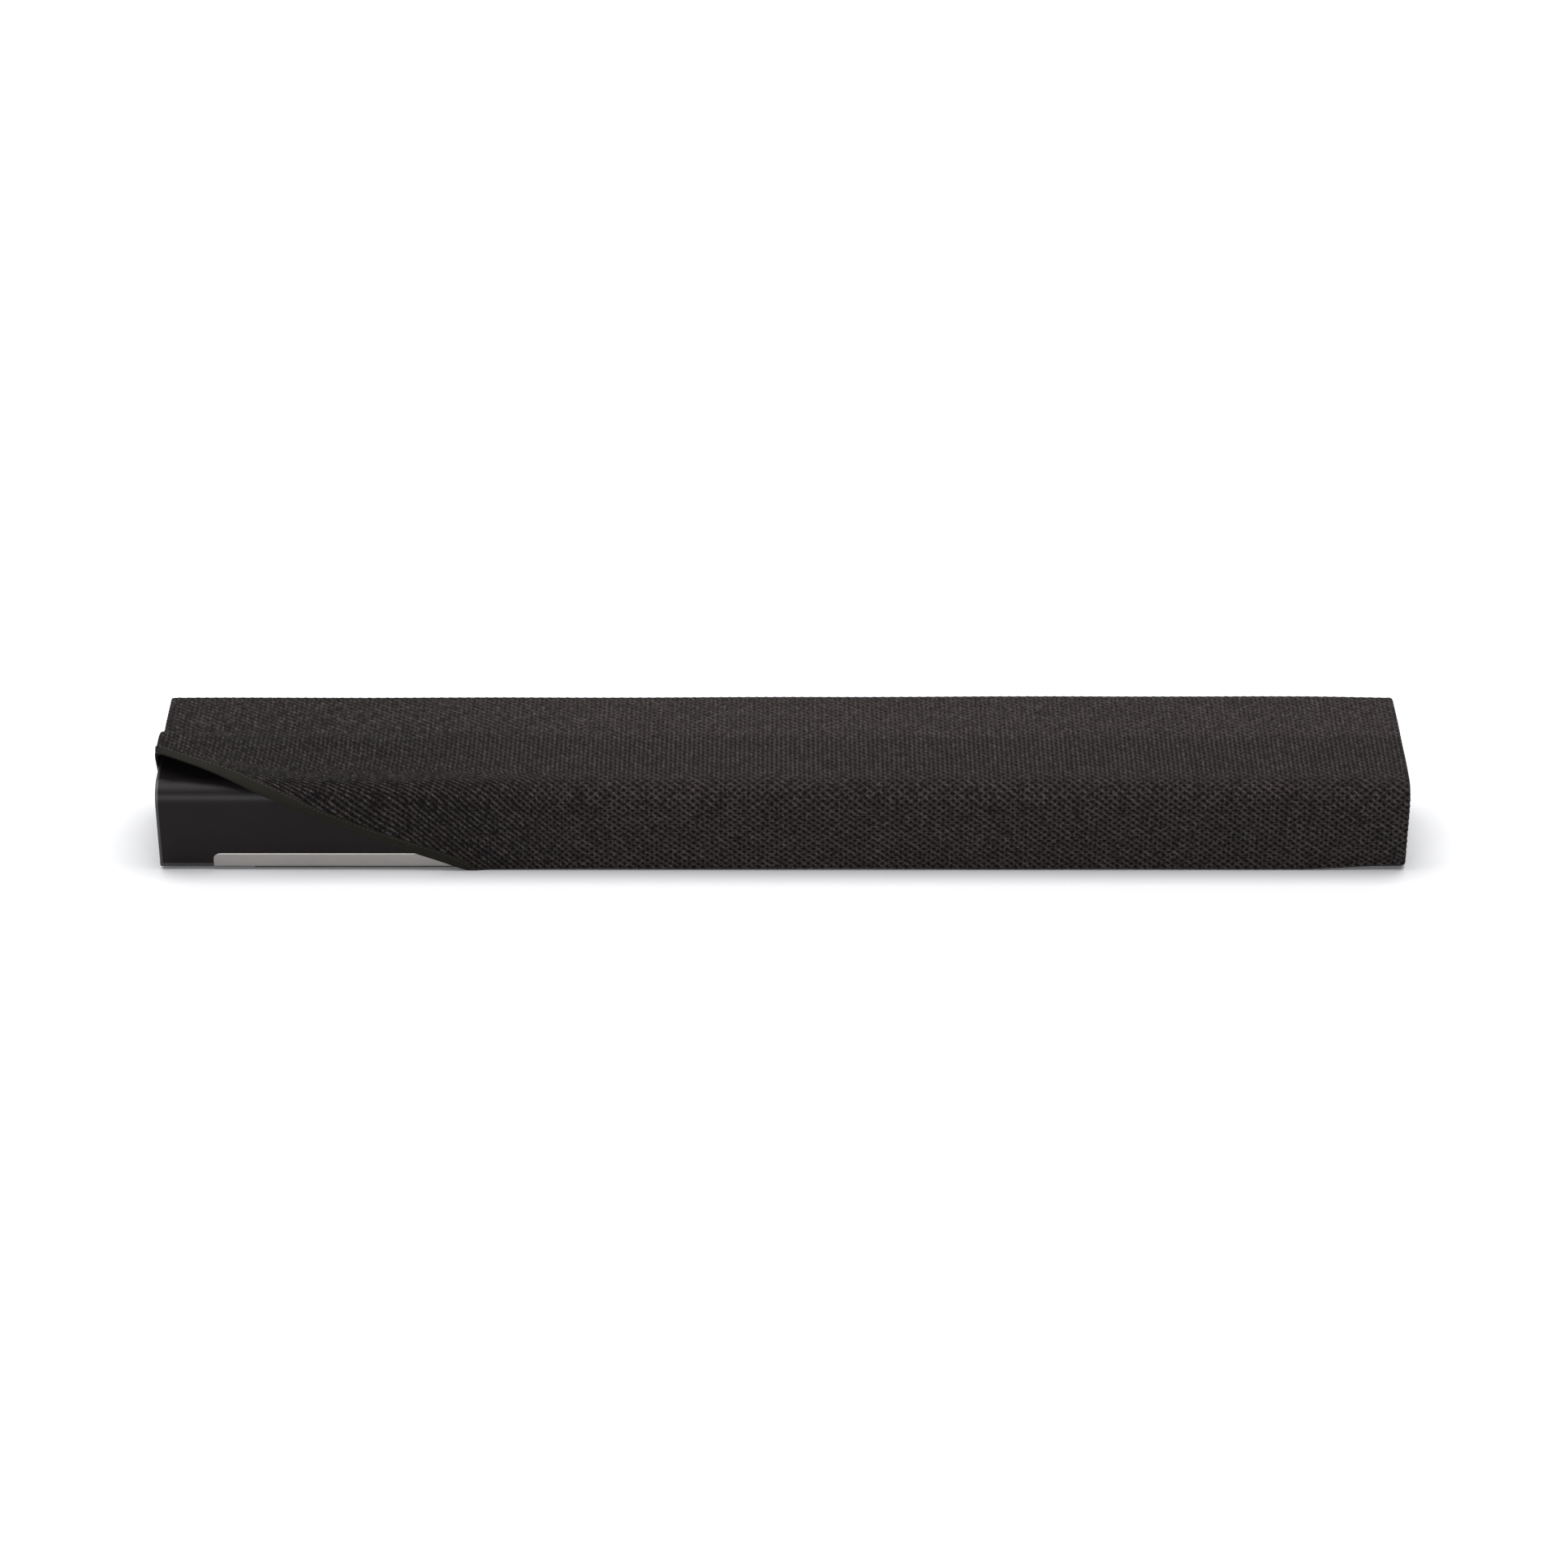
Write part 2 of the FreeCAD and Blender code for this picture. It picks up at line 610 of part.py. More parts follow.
def woofer_cone(x):
    """A paper cone with its dust cap and the coil former behind it."""
    cap_top = CONE_NECK + CAP_HEIGHT
    return baffle_lathe(
        x,
        [
            (CONE_RADIUS, CONE_FRONT),
            (CONE_RADIUS, CONE_FRONT - CONE_SKIN),
            (COIL_OUTER, CONE_NECK - CONE_SKIN),
            (COIL_OUTER, COIL_END),
            (COIL_INNER, COIL_END),
            (COIL_INNER, CONE_NECK + 0.6),
            (4.6, cap_top - 2.0),
            (0, cap_top - CONE_SKIN),
            (0, cap_top),
            (5.0, cap_top - 1.3),
            (CAP_RADIUS, CONE_NECK + 1.0),
            (CAP_RADIUS + 1.0, CONE_NECK + CONE_SKIN),
            (CONE_EDGE, CONE_FRONT),
        ],
    )


def woofer_surround(x):
    """The rubber half-roll round the cone, and the spider behind it."""
    inner = CONE_RADIUS + 0.3
    outer = ROLL_OUTER
    middle = (inner + outer) / 2
    under = CONE_FRONT - ROLL_SKIN
    crown = CONE_FRONT + ROLL_HEIGHT
    roll = baffle_lathe(
        x,
        [
            (inner, under),
            (inner + 1.2, under),
            (middle - 1.0, crown - 1.2),
            (middle + 1.0, crown - 1.2),
            (outer - 1.2, under),
            (outer, under),
            (outer, CONE_FRONT),
            (outer - 0.8, CONE_FRONT + 0.2),
            (middle + 1.4, crown),
            (middle - 1.4, crown),
            (inner + 0.8, CONE_FRONT + 0.2),
            (inner, CONE_FRONT),
        ],
    )
    first, ridge, second, edge = SPIDER_RADII
    low = SPIDER_BACK
    high = SPIDER_BACK + SPIDER_SKIN
    spider = baffle_lathe(
        x,
        [
            (COIL_OUTER + 0.4, low),
            (first, low),
            (ridge, low + SPIDER_RIDGE),
            (second, low),
            (edge, low),
            (edge, high),
            (second, high),
            (ridge, high + SPIDER_RIDGE),
            (first, high),
            (COIL_OUTER + 0.4, high),
        ],
    )
    return Part.makeCompound([roll, spider])


def make_woofers():
    for number, x in enumerate(WOOFER_X, 1):
        export(woofer_frame(x), f"woofer_{number}_frame")
        export(woofer_cone(x), f"woofer_{number}_cone")
        export(woofer_surround(x), f"woofer_{number}_surround")
    export(Part.makeCompound([woofer_magnet(x) for x in WOOFER_X]), "woofer_magnets")


DOME_RADIUS = 9.5
DOME_BASE = 6.0
DOME_HEIGHT = 4.0
DOME_SKIN = 0.5
FORMER_SKIN = 0.6
FORMER_END = -4.0
CUP_RADIUS = 15.0
CUP_BACK = -14.0
CUP_SLOT_END = -6.0
CUP_POLE = 8.0
POLE_TOP = DOME_BASE - 2.0
FLARE_OUTER = 14.0
FLARE_INNER = 11.0


def tweeter_frame(x):
    """A flared face plate and the magnet cup behind it."""
    front = TWEETER_FLANGE_FRONT
    shell = baffle_lathe(
        x,
        [
            (TWEETER_RADIUS, BAFFLE_THICKNESS),
            (TWEETER_RADIUS, front - 0.6),
            (TWEETER_RADIUS - 0.6, front),
            (FLARE_OUTER, front),
            (FLARE_INNER, DOME_BASE),
            (DOME_RADIUS + 0.6, DOME_BASE - 1.0),
            (DOME_RADIUS + 0.6, CUP_SLOT_END),
            (CUP_POLE, CUP_SLOT_END),
            (CUP_POLE, POLE_TOP),
            (0, POLE_TOP),
            (0, CUP_BACK),
            (CUP_RADIUS, CUP_BACK),
            (CUP_RADIUS, BAFFLE_THICKNESS),
        ],
    )
    holes = [screw_hole(place, -OVERRUN, front + OVERRUN) for place in screw_ring(x, TWEETER_SCREW_RING)]
    return shell.cut(Part.makeCompound(holes))


def tweeter_dome(x):
    """A thin fabric dome with its coil former."""
    return baffle_lathe(
        x,
        [
            (DOME_RADIUS, FORMER_END),
            (DOME_RADIUS, DOME_BASE),
            (7.4, DOME_BASE + 2.2),
            (4.0, DOME_BASE + 3.6),
            (0, DOME_BASE + DOME_HEIGHT),
            (0, DOME_BASE + DOME_HEIGHT - DOME_SKIN),
            (3.8, DOME_BASE + 3.1),
            (7.0, DOME_BASE + 1.8),
            (DOME_RADIUS - FORMER_SKIN, DOME_BASE - 0.3),
            (DOME_RADIUS - FORMER_SKIN, FORMER_END),
        ],
    )


def make_tweeters():
    for number, x in enumerate(TWEETER_X, 1):
        export(tweeter_dome(x), f"tweeter_{number}_dome")
    export(Part.makeCompound([tweeter_frame(x) for x in TWEETER_X]), "tweeter_frames")


# ---------------------------------------------------------------- inside the housing

PARTITION_X = (-290.0, -125.0, 125.0, 290.0)
PARTITION = 3.0
HARNESS_Y = 44.0
HARNESS_Z = 68.0
HARNESS_RADIUS = 2.5
LEAD_RADIUS = 1.2
LEAD_SHORT = 3.0  # each lead stops this far before its driver's terminal
TERMINAL_RISE = 10.0  # the terminal's height above the driver's middle
HARNESS_HOLE = 6.0
HARNESS_REACH = 20.0  # how far the trunk runs past the outer woofers
ROOM_CLEARANCE = 0.1
FOAM_X = (374.0, 430.0)
FOAM_Y = (26.0, 62.0)
FOAM_Z = (10.0, 58.0)
FOAM_GROOVE = 4.0
FOAM_GROOVE_Z = (16.0, 28.0, 40.0, 52.0)


def behind_flanges(low, high):
    """The room between the flanges and the back wall."""
    room = body_prism(LEDGE_DEPTH + ROOM_CLEARANCE, low, high)
    front = baffle_slab(EVERYWHERE, (-FAR, FAR), (FLANGE_BACK - ROOM_CLEARANCE, FAR))
    return room.cut(front)


def make_partition_walls():
    """Walls that divide the housing into chambers, each with a hole for the wiring."""
    walls = []
    for x in PARTITION_X:
        wall = behind_flanges(x - PARTITION / 2, x + PARTITION / 2)
        start = Vector(x - PARTITION, HARNESS_Y, HARNESS_Z)
        hole = Part.makeCylinder(HARNESS_HOLE, 2 * PARTITION, start, X_AXIS)
        walls.append(wall.cut(hole))
    export(Part.makeCompound(walls), "partition_walls")


def make_damping_foam():
    """A grooved foam block at each end of the housing."""
    blocks = []
    for side in (-1, 1):
        low, high = sorted(side * x for x in FOAM_X)
        grooves = []
        for z in FOAM_GROOVE_Z:
            grooves.append(Part.makeCylinder(FOAM_GROOVE, high - low, Vector(low, FOAM_Y[0], z), X_AXIS))
        block = box((low, high), FOAM_Y, FOAM_Z)
        blocks.append(block.cut(Part.makeCompound(grooves)))
    export(Part.makeCompound(blocks), "damping_foam")


def make_wiring_harness():
    """A trunk along the housing with a lead down to each driver."""
    reach = WOOFER_X[-1] + HARNESS_REACH
    start = Vector(-reach, HARNESS_Y, HARNESS_Z)
    pieces = [Part.makeCylinder(HARNESS_RADIUS, 2 * reach, start, X_AXIS)]
    for x in WOOFER_X:
        root = Vector(x, HARNESS_Y, HARNESS_Z)
        lead = on_baffle(x, DRIVER_HEIGHT + TERMINAL_RISE, MAGNET_BACK - BACKPLATE) - root
        pieces.append(Part.makeCylinder(LEAD_RADIUS, lead.Length - LEAD_SHORT, root, lead))
    export(fuse(pieces), "wiring_harness")


MAIN_BOARD_X = (-100.0, 100.0)
MAIN_BOARD_FRONT_Y = 36.0
MAIN_BOARD_Z = (12.0, 56.0)
MAIN_CHIPS = (  # the span in x, the height off the board, and the span in z
    ((-60.0, -36.0), 2.0, (26.0, 50.0)),
    ((-20.0, 0.0), 1.6, (28.0, 42.0)),
    ((14.0, 30.0), 1.6, (38.0, 52.0)),
    ((50.0, 82.0), 6.0, (20.0, 44.0)),
)


def make_main_board():
    front = MAIN_BOARD_FRONT_Y
    export(box(MAIN_BOARD_X, (front, front + BOARD), MAIN_BOARD_Z), "main_board")
    chips = [box(x, (front - height, front), z) for x, height, z in MAIN_CHIPS]
    export(Part.makeCompound(chips), "main_board_chips")


SIDE_BOARD_X = (136.0, 276.0)
SIDE_BOARD_Y = (14.0, 64.0)
SIDE_BOARD_LOW = 12.0
SIDE_BOARD_TOP = SIDE_BOARD_LOW + BOARD
SINK_X = (214.0, 270.0)
SINK_Y = (18.0, 60.0)
SINK_BASE = 4.0
SINK_HEIGHT = 22.4
FIN_COUNT = 8
FIN_PITCH = 5.7
FIN_THICKNESS = 2.0
CORE_X = (-180.0, -150.0)
CORE_Y = (22.0, 56.0)
CORE_HEIGHT = 24.0
CORE_WINDOW_X = (-176.0, -154.0)
CORE_WINDOW_RISE = 19.0
CAN_PLACES = ((-264.0, 24.0), (-264.0, 42.0), (-246.0, 24.0))
CAN_RADIUS = 7.0
CAN_HEIGHT = 26.0
CAN_FILLET = 1.2
PLATE_X = (-232.0, -226.0)
PLATE_Y = (20.0, 58.0)
PLATE_HEIGHT = 22.0


def side_board(low, high):
    """A circuit board between two x, cut clear of the bracket inserts' bosses."""
    board = box((low, high), SIDE_BOARD_Y, (SIDE_BOARD_LOW, SIDE_BOARD_TOP))
    for x, y in insert_places():
        board = board.cut(Part.makeCylinder(BOSS_RADIUS + 1.0, SIDE_BOARD_TOP + OVERRUN, Vector(x, y, 0)))
    return board


def make_amplifier_board():
    low, high = SIDE_BOARD_X
    export(side_board(low, high), "amplifier_board")
    base = box(SINK_X, SINK_Y, (SIDE_BOARD_TOP, SIDE_BOARD_TOP + SINK_BASE))
    fins = []
    for i in range(FIN_COUNT):
        y = SINK_Y[0] + i * FIN_PITCH
        fins.append(box(SINK_X, (y, y + FIN_THICKNESS), (SIDE_BOARD_TOP, SIDE_BOARD_TOP + SINK_HEIGHT)))
    export(fuse([base] + fins), "heat_sink")


def make_power_supply():
    low, high = SIDE_BOARD_X
    export(side_board(-high, -low), "power_supply_board")
    top = SIDE_BOARD_TOP
    core = box(CORE_X, CORE_Y, (top, top + CORE_HEIGHT))
    window = box(CORE_WINDOW_X, (-FAR, FAR), (top + CORE_WINDOW_RISE, top + CORE_HEIGHT + OVERRUN))
    parts = [core.cut(window)]
    for x, y in CAN_PLACES:
        can = Part.makeCylinder(CAN_RADIUS, CAN_HEIGHT, Vector(x, y, top))
        parts.append(can.makeFillet(CAN_FILLET, [can.Edges[0]]))
    parts.append(box(PLATE_X, PLATE_Y, (top, top + PLATE_HEIGHT)))
    export(Part.makeCompound(parts), "power_supply_parts")


POWER_X = 50.0
OPTICAL_X = 10.0
NETWORK_X = (-22.0, -44.0)
PORT_FLOOR = BACK_Y - PORT_DEPTH
PORT_MIDDLE = (PORT_LOW + PORT_HIGH) / 2
PANEL = 2.0
SOCKET_MOUTH = PORT_FLOOR + PANEL + 1.0  # the connectors stand just proud of the panel
INLET_SIZE = (22.0, 13.0)
INLET_LOBE = 4.4
INLET_LOBE_X = 4.2
INLET_DEPTH = 10.0
PIN_RADIUS = 1.1
PIN_X = 4.3
PIN_LENGTH = 8.5
PIN_ROOT = 0.5
OPTICAL_SIZE = (11.0, 11.0)
OPTICAL_HALF = 3.2
OPTICAL_DEPTH = 8.0
NETWORK_SIZE = (16.0, 14.0)
NETWORK_DEPTH = 9.0
NETWORK_HALF = 5.9
NETWORK_RISE = (-3.6, 3.4)
LATCH_HALF = 3.0
LATCH_RISE = (3.0, 5.2)


def port_block(x, size):
    """A connector's outer block from the main board to just proud of the port panel."""
    width, height = size
    return box(
        (x - width / 2, x + width / 2),
        (MAIN_BOARD_FRONT_Y + BOARD, SOCKET_MOUTH),
        (PORT_MIDDLE - height / 2, PORT_MIDDLE + height / 2),
    )


def socket_hollow(x, half, depth, rise):
    """A straight-sided hollow, open to the back."""
    heights = (PORT_MIDDLE + rise[0], PORT_MIDDLE + rise[1])
    return box((x - half, x + half), (SOCKET_MOUTH - depth, SOCKET_MOUTH + OVERRUN), heights)


def make_ports():
    """The recessed panel at the back and its connectors, all facing +Y."""
    panel = box((-PORT_HALF, PORT_HALF), (PORT_FLOOR, PORT_FLOOR + PANEL), (PORT_LOW, PORT_HIGH))
    inlet = port_block(POWER_X, INLET_SIZE)
    optical = port_block(OPTICAL_X, OPTICAL_SIZE)
    jacks = [port_block(x, NETWORK_SIZE) for x in NETWORK_X]
    for block in [inlet, optical] + jacks:
        panel = panel.cut(block)
    export(panel, "port_panel")

    lobes = []
    pins = []
    for side in (-1, 1):
        floor = SOCKET_MOUTH - INLET_DEPTH
        lobe_foot = Vector(POWER_X + side * INLET_LOBE_X, floor, PORT_MIDDLE)
        lobes.append(Part.makeCylinder(INLET_LOBE, INLET_DEPTH + OVERRUN, lobe_foot, Y_AXIS))
        pin_foot = Vector(POWER_X + side * PIN_X, floor - PIN_ROOT, PORT_MIDDLE)
        pins.append(Part.makeCylinder(PIN_RADIUS, PIN_LENGTH, pin_foot, Y_AXIS))
    export(fuse([inlet.cut(fuse(lobes))] + pins), "power_inlet")

    square = socket_hollow(OPTICAL_X, OPTICAL_HALF, OPTICAL_DEPTH, (-OPTICAL_HALF, OPTICAL_HALF))
    export(optical.cut(square), "optical_jack")

    sockets = []
    for x, jack in zip(NETWORK_X, jacks):
        hole = socket_hollow(x, NETWORK_HALF, NETWORK_DEPTH, NETWORK_RISE)
        latch = socket_hollow(x, LATCH_HALF, NETWORK_DEPTH, LATCH_RISE)
        sockets.append(jack.cut(hole.fuse(latch)))
    export(Part.makeCompound(sockets), "network_jacks")


RECEIVER_X = 29.0
RECEIVER_HALF_WIDTH = 2.6
RECEIVER_HALF_HEIGHT = 3.5
RECEIVER_DEPTH = 3.0
LENS_RADIUS = 2.2
PIPE_UP = 10.0
PIPE_RADIUS = 1.6
PIPE_LENGTH = 9.0
COLLAR_RADIUS = 3.0
COLLAR_DEPTH = 1.5
PIPE_CLEARANCE = 0.3  # between the pipe's end and the grille frame


def make_front_sensors():
    """Two infrared receivers and the status light's pipe, between the baffle and the grille."""
    receivers = []
    top = BAFFLE_THICKNESS + RECEIVER_DEPTH
    heights = (DRIVER_HEIGHT - RECEIVER_HALF_HEIGHT, DRIVER_HEIGHT + RECEIVER_HALF_HEIGHT)
    for x in (-RECEIVER_X, RECEIVER_X):
        across = (x - RECEIVER_HALF_WIDTH, x + RECEIVER_HALF_WIDTH)
        body = baffle_slab(across, heights, (BAFFLE_THICKNESS, top))
        lens = Part.makeSphere(LENS_RADIUS, on_baffle(x, DRIVER_HEIGHT, top))
        receivers.append(body.fuse(lens).removeSplitter())
    export(Part.makeCompound(receivers), "infrared_receivers")
    pipe = baffle_disc(0.0, PIPE_RADIUS, BAFFLE_THICKNESS, BAFFLE_THICKNESS + PIPE_LENGTH, PIPE_UP)
    collar = baffle_disc(0.0, COLLAR_RADIUS, BAFFLE_THICKNESS, BAFFLE_THICKNESS + COLLAR_DEPTH, PIPE_UP)
    pipe = pipe.fuse(collar).cut(front_skin(0, GRILLE_DEPTH + PIPE_CLEARANCE))
    export(pipe.removeSplitter(), "status_light_pipe")


# ---------------------------------------------------------------- slip-on cover


SKIRT_SHARE = 0.85  # the cover's straight front wall begins this share of the nose's radius below its corner
PEEL_PAST_HIGH = 20.0  # how far the peel's cutting tool runs past its upper end
PEEL_PAST_LOW = 80.0  # and past its lower end
PEEL_BEHIND = 10.0  # the peel stops this far in front of the bar's middle
END_PEEL_PAST = 40.0
WINDOW_TAPE = 5.0


def hood(grow, half, low):
    """The bar's section grown by grow, with its walls straight down to low, between plus and minus half."""
    corners = inset_corners(BODY_CORNERS, -grow)
    radii = [r + grow if r else 0.0 for r in BODY_RADII]
    whole = Part.Face(rounded_wire(corners, radii, -half)).extrude(Vector(2 * half, 0, 0))
    front = whole.BoundBox.YMin
    back = whole.BoundBox.YMax
    nose_z = NOSE_CORNER[1] - NOSE_RADIUS * SKIRT_SHARE
    skirt = box((-half, half), (front, back), (low, nose_z))
    return whole.cut(box(EVERYWHERE, (-FAR, FAR), (-FAR, nose_z))).fuse(skirt).removeSplitter()


def peel_prism(rise):
    """Everything in front of the bar's middle that lies under the pulled-up edge, raised by rise."""
    tilt = math.radians(PEEL_TILT)
    sight = Vector(0, math.cos(tilt), -math.sin(tilt))
    up = Vector(0, math.sin(tilt), math.cos(tilt))
    slope = (PEEL_LOW[1] - PEEL_HIGH[1]) / (PEEL_LOW[0] - PEEL_HIGH[0])
    lift = rise * math.hypot(1, slope)

    def at(x, height):
        return Vector(x, 0, 0) + up * (height + lift) - sight * FAR

    start = PEEL_HIGH[0] - PEEL_PAST_HIGH
    finish = PEEL_LOW[0] + PEEL_PAST_LOW
    points = [
        at(start, PEEL_HIGH[1] - PEEL_PAST_HIGH * slope),
        at(finish, PEEL_LOW[1] + PEEL_PAST_LOW * slope),
        at(finish, -FAR),
        at(start, -FAR),
    ]
    return Part.Face(Part.makePolygon(points + points[:1])).extrude(sight * (FAR - PEEL_BEHIND))


def end_peel_prism(rise):
    """Everything at the left end that lies in front of the slanting edge, moved back by rise."""
    run = math.dist(END_PEEL_HIGH, END_PEEL_LOW)
    shift = rise * run / (END_PEEL_HIGH[1] - END_PEEL_LOW[1])
    steep = (END_PEEL_LOW[0] - END_PEEL_HIGH[0]) / (END_PEEL_HIGH[1] - END_PEEL_LOW[1])
    past = END_PEEL_PAST
    high = (END_PEEL_HIGH[0] + shift - past * steep, END_PEEL_HIGH[1] + past)
    low = (END_PEEL_LOW[0] + shift + past * steep, END_PEEL_LOW[1] - past)
    outline = [high, low, (-FAR, low[1]), (-FAR, high[1])]
    return x_prism(outline, -FAR * 2, -HALF - COVER_GAP / 2)


def lead_window(grow):
    half, low, high = COVER_WINDOW
    return box((-half - grow, half + grow), (BACK_Y - BACK_RADIUS, FAR), (low - grow, high + grow))


def make_cover():
    """A main panel over top, front and back, two end panels, and the tape that binds its open edges."""
    inside = COVER_GAP
    outside = COVER_GAP + COVER_THICKNESS
    end_inside = HALF + inside
    end_outside = HALF + outside
    shell = hood(outside, end_inside, COVER_LOW).cut(hood(inside, end_inside + OVERRUN, -FAR))
    main = shell.cut(peel_prism(0)).cut(lead_window(0))
    export(main, "cover_main_panel")

    middle = box((-end_inside, end_inside), (-FAR, FAR), (-FAR, FAR))
    ends = hood(outside, end_outside, COVER_LOW).cut(middle)
    left = ends.common(box((-FAR * 2, 0), (-FAR, FAR), (-FAR, FAR)))
    right = ends.common(box((0, FAR * 2), (-FAR, FAR), (-FAR, FAR)))
    export(left.cut(end_peel_prism(0)), "cover_left_end")
    export(right, "cover_right_end")

    tape_out = outside + TAPE_THICKNESS
    skin = hood(tape_out, HALF + tape_out, COVER_LOW).cut(hood(outside, end_outside, -FAR))
    foot_zone = box(EVERYWHERE, (-FAR, FAR), (-FAR, COVER_LOW + TAPE_WIDTH))
    at_end = box((-FAR * 2, -HALF - outside), (-FAR, FAR), (-FAR, FAR))
    front_zone = peel_prism(TAPE_WIDTH).cut(at_end)
    left_zone = end_peel_prism(TAPE_WIDTH).common(at_end)
    window_zone = lead_window(WINDOW_TAPE)
    zone = foot_zone.multiFuse([front_zone, left_zone, window_zone])
    tape = skin.common(zone)
    tape = tape.cut(peel_prism(0).cut(at_end)).cut(end_peel_prism(0)).cut(lead_window(0))
    export(tape.removeSplitter(), "cover_binding")


make_rear_housing()
make_bracket_inserts()
make_front_baffle()
make_baffle_gasket()
make_grille()
make_trim_band()
make_foot_strips()
make_end_cap(-1, "left_end_cap")
make_end_cap(1, "right_end_cap")
make_buttons()
make_control_board()
make_woofers()
make_tweeters()
make_screws()
make_partition_walls()
make_damping_foam()
make_wiring_harness()
make_main_board()
make_amplifier_board()
make_power_supply()
make_ports()
make_front_sensors()
make_cover()
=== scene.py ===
import json
import math

import bpy
import numpy as np
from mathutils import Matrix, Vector


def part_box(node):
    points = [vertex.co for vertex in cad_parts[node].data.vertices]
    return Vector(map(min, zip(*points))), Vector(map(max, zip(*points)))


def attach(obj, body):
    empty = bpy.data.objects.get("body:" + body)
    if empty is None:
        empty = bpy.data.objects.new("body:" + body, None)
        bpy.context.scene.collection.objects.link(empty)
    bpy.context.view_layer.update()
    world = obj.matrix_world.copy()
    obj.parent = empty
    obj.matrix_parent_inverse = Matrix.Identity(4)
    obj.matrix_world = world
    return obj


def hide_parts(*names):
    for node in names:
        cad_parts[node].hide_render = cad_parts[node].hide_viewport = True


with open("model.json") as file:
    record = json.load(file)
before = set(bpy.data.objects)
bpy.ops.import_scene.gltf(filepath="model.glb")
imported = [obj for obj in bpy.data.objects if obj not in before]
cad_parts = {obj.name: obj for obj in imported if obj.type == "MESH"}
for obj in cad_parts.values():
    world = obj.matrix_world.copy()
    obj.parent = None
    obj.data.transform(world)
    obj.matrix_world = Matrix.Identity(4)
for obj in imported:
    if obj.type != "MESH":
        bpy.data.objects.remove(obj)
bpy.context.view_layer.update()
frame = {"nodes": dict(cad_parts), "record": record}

MM = 0.001

# ---------------------------------------------------------------- sizes, in millimetres

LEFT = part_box("left_end_cap")[0][0] / MM
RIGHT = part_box("right_end_cap")[1][0] / MM
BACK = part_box("rear_housing")[1][1] / MM
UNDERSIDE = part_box("rear_housing")[0][2] / MM
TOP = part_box("rear_housing")[1][2] / MM

FRONT_FOOT = -53.0  # where the bar's front face meets its underside
NOSE_CORNER = (-74.7, 70.2)  # (y, z) where the slope would meet the front face without its rounding
NOSE_RADIUS = 14.6
CREASE = (5.0, 80.0)  # (y, z) where the top bends down into the slope

# How far the knit's middle stands off the bar, leg by leg of its section.
CLOTH_OFF = 1.5  # on the slope and the front
TOP_OFF = 2.9
BACK_OFF = 2.4
UNDER_OFF = 1.9
END_OFF_LEFT = 1.0
END_OFF_RIGHT = 2.2
FOOT_PUSH = 0.9  # the lower front corner stands this much further out
CREASE_SOFTNESS = 10.0
BACK_SOFTNESS = 3.0
FOOT_SOFTNESS = 1.8
UNDER_REACH = 2.2  # how far the hem is turned under the front edge
HEM_LOW = 1.2  # height of the hem at the back and the ends
FLOOR_GAP = 0.1
CORNER_BEND = 2.2  # radius of the knit round the bar's ends
CORNER_TUCK = 2.0  # how far it goes on behind the end panels
END_CUT = 447.0  # x, to either side, where the end panels take their outline from the section
HEM_END = 449.0  # x, to either side, where the front hem turns onto the ends

WALE = 10.0 / 3.0  # the knit repeats every two wales across and two courses down
COURSE = 2.7
HOLE_DEPTH = 0.75
THREAD_STAND = 0.25  # how proud the threads are, as a share of that

SIGHT_TILT = math.radians(21.0)  # how far the line of sight looks down

# The pulled-up front left corner, its hem as (x, height square to the line of sight).
HEM_LINE = [(-447.0, 65.4), (-410.0, 52.6), (-371.0, 34.6), (-306.0, 7.7), (-239.0, -14.9)]
HEM_TURN_X = -247.0  # from here the hem runs straight on, round the foot of the front and under
HEM_FALL = 0.45  # the straight run's slope
HEM_UNDER_X = -208.0  # from here on only the turned-under strip of the tape is left
HEM_SETTLING = 1.5  # how softly it comes to the turned-under edge
TENT_HEIGHT = 13.0
TENT_FROM = -335.0
TENT_TO = -447.0
TENT_BEHIND = -9.0  # the pulled-up corner leaves the bar this far behind the crease
TENT_RUN = 30.0
END_HEM_FOOT = 36.0  # where the left end's slanting hem comes down to the bottom edge
END_HEM_SAG = 2.5
LEAN_FROM = -150.0  # left of here the pull makes the knit's columns lean over round the nose
LEAN_RUN = 120.0  # and beyond this much further they don't lean more
LEAN = 0.27  # how far they shift for each millimetre of that
SLIP = 5.0  # how far the pull drags them sideways on the slope and the front

# Folds, as (x, s) and (reach across, reach along, height).
DRAG_PLACE = (-318.0, 8.0)
DRAG_SIZE = (42.0, 9.0, 2.2)
DRAG_SLANT = 0.12
DIMPLE_PLACE = (412.0, -22.0)
DIMPLE_SIZE = (16.0, 9.0, -0.9)
RIPPLE = 0.25
FORWARD_SHARE = 0.12  # what is lifted also moves this share of it towards the front
BACK_SLACK = 1.1
END_BULGE = 0.5
CORNER_LIFT = 3.0  # the hem is drawn up this much at the front right corner
RIGHT_HEM_LIFT = 2.2  # and by this much beside it on the right end

TAPE_WIDTH = 9.0
TAPE_UNDER = 2.2
TAPE_OUT = 0.95
TAPE_IN = 0.65
TAPE_FLAT = 0.45  # the share of its thickness that the tape keeps where it is turned under
WINDOW_TAPE_WIDTH = 6.0

WINDOW_HALF = 85.0  # the opening for the leads in the cover's back
WINDOW_LOW = 12.0
WINDOW_HIGH = 70.0
WINDOW_RADIUS = 6.0

MARK_THICK = 0.8  # the signs on the buttons
MARK_LONG = 3.6
MARK_PROUD = 0.12

# ---------------------------------------------------------------- camera, in metres

LENS = 132.9  # this one in millimetres
SIGHT_DISTANCE = 4.16
SIGHT_AIM = (0.00205, -0.065, 0.071)

# ---------------------------------------------------------------- node materials


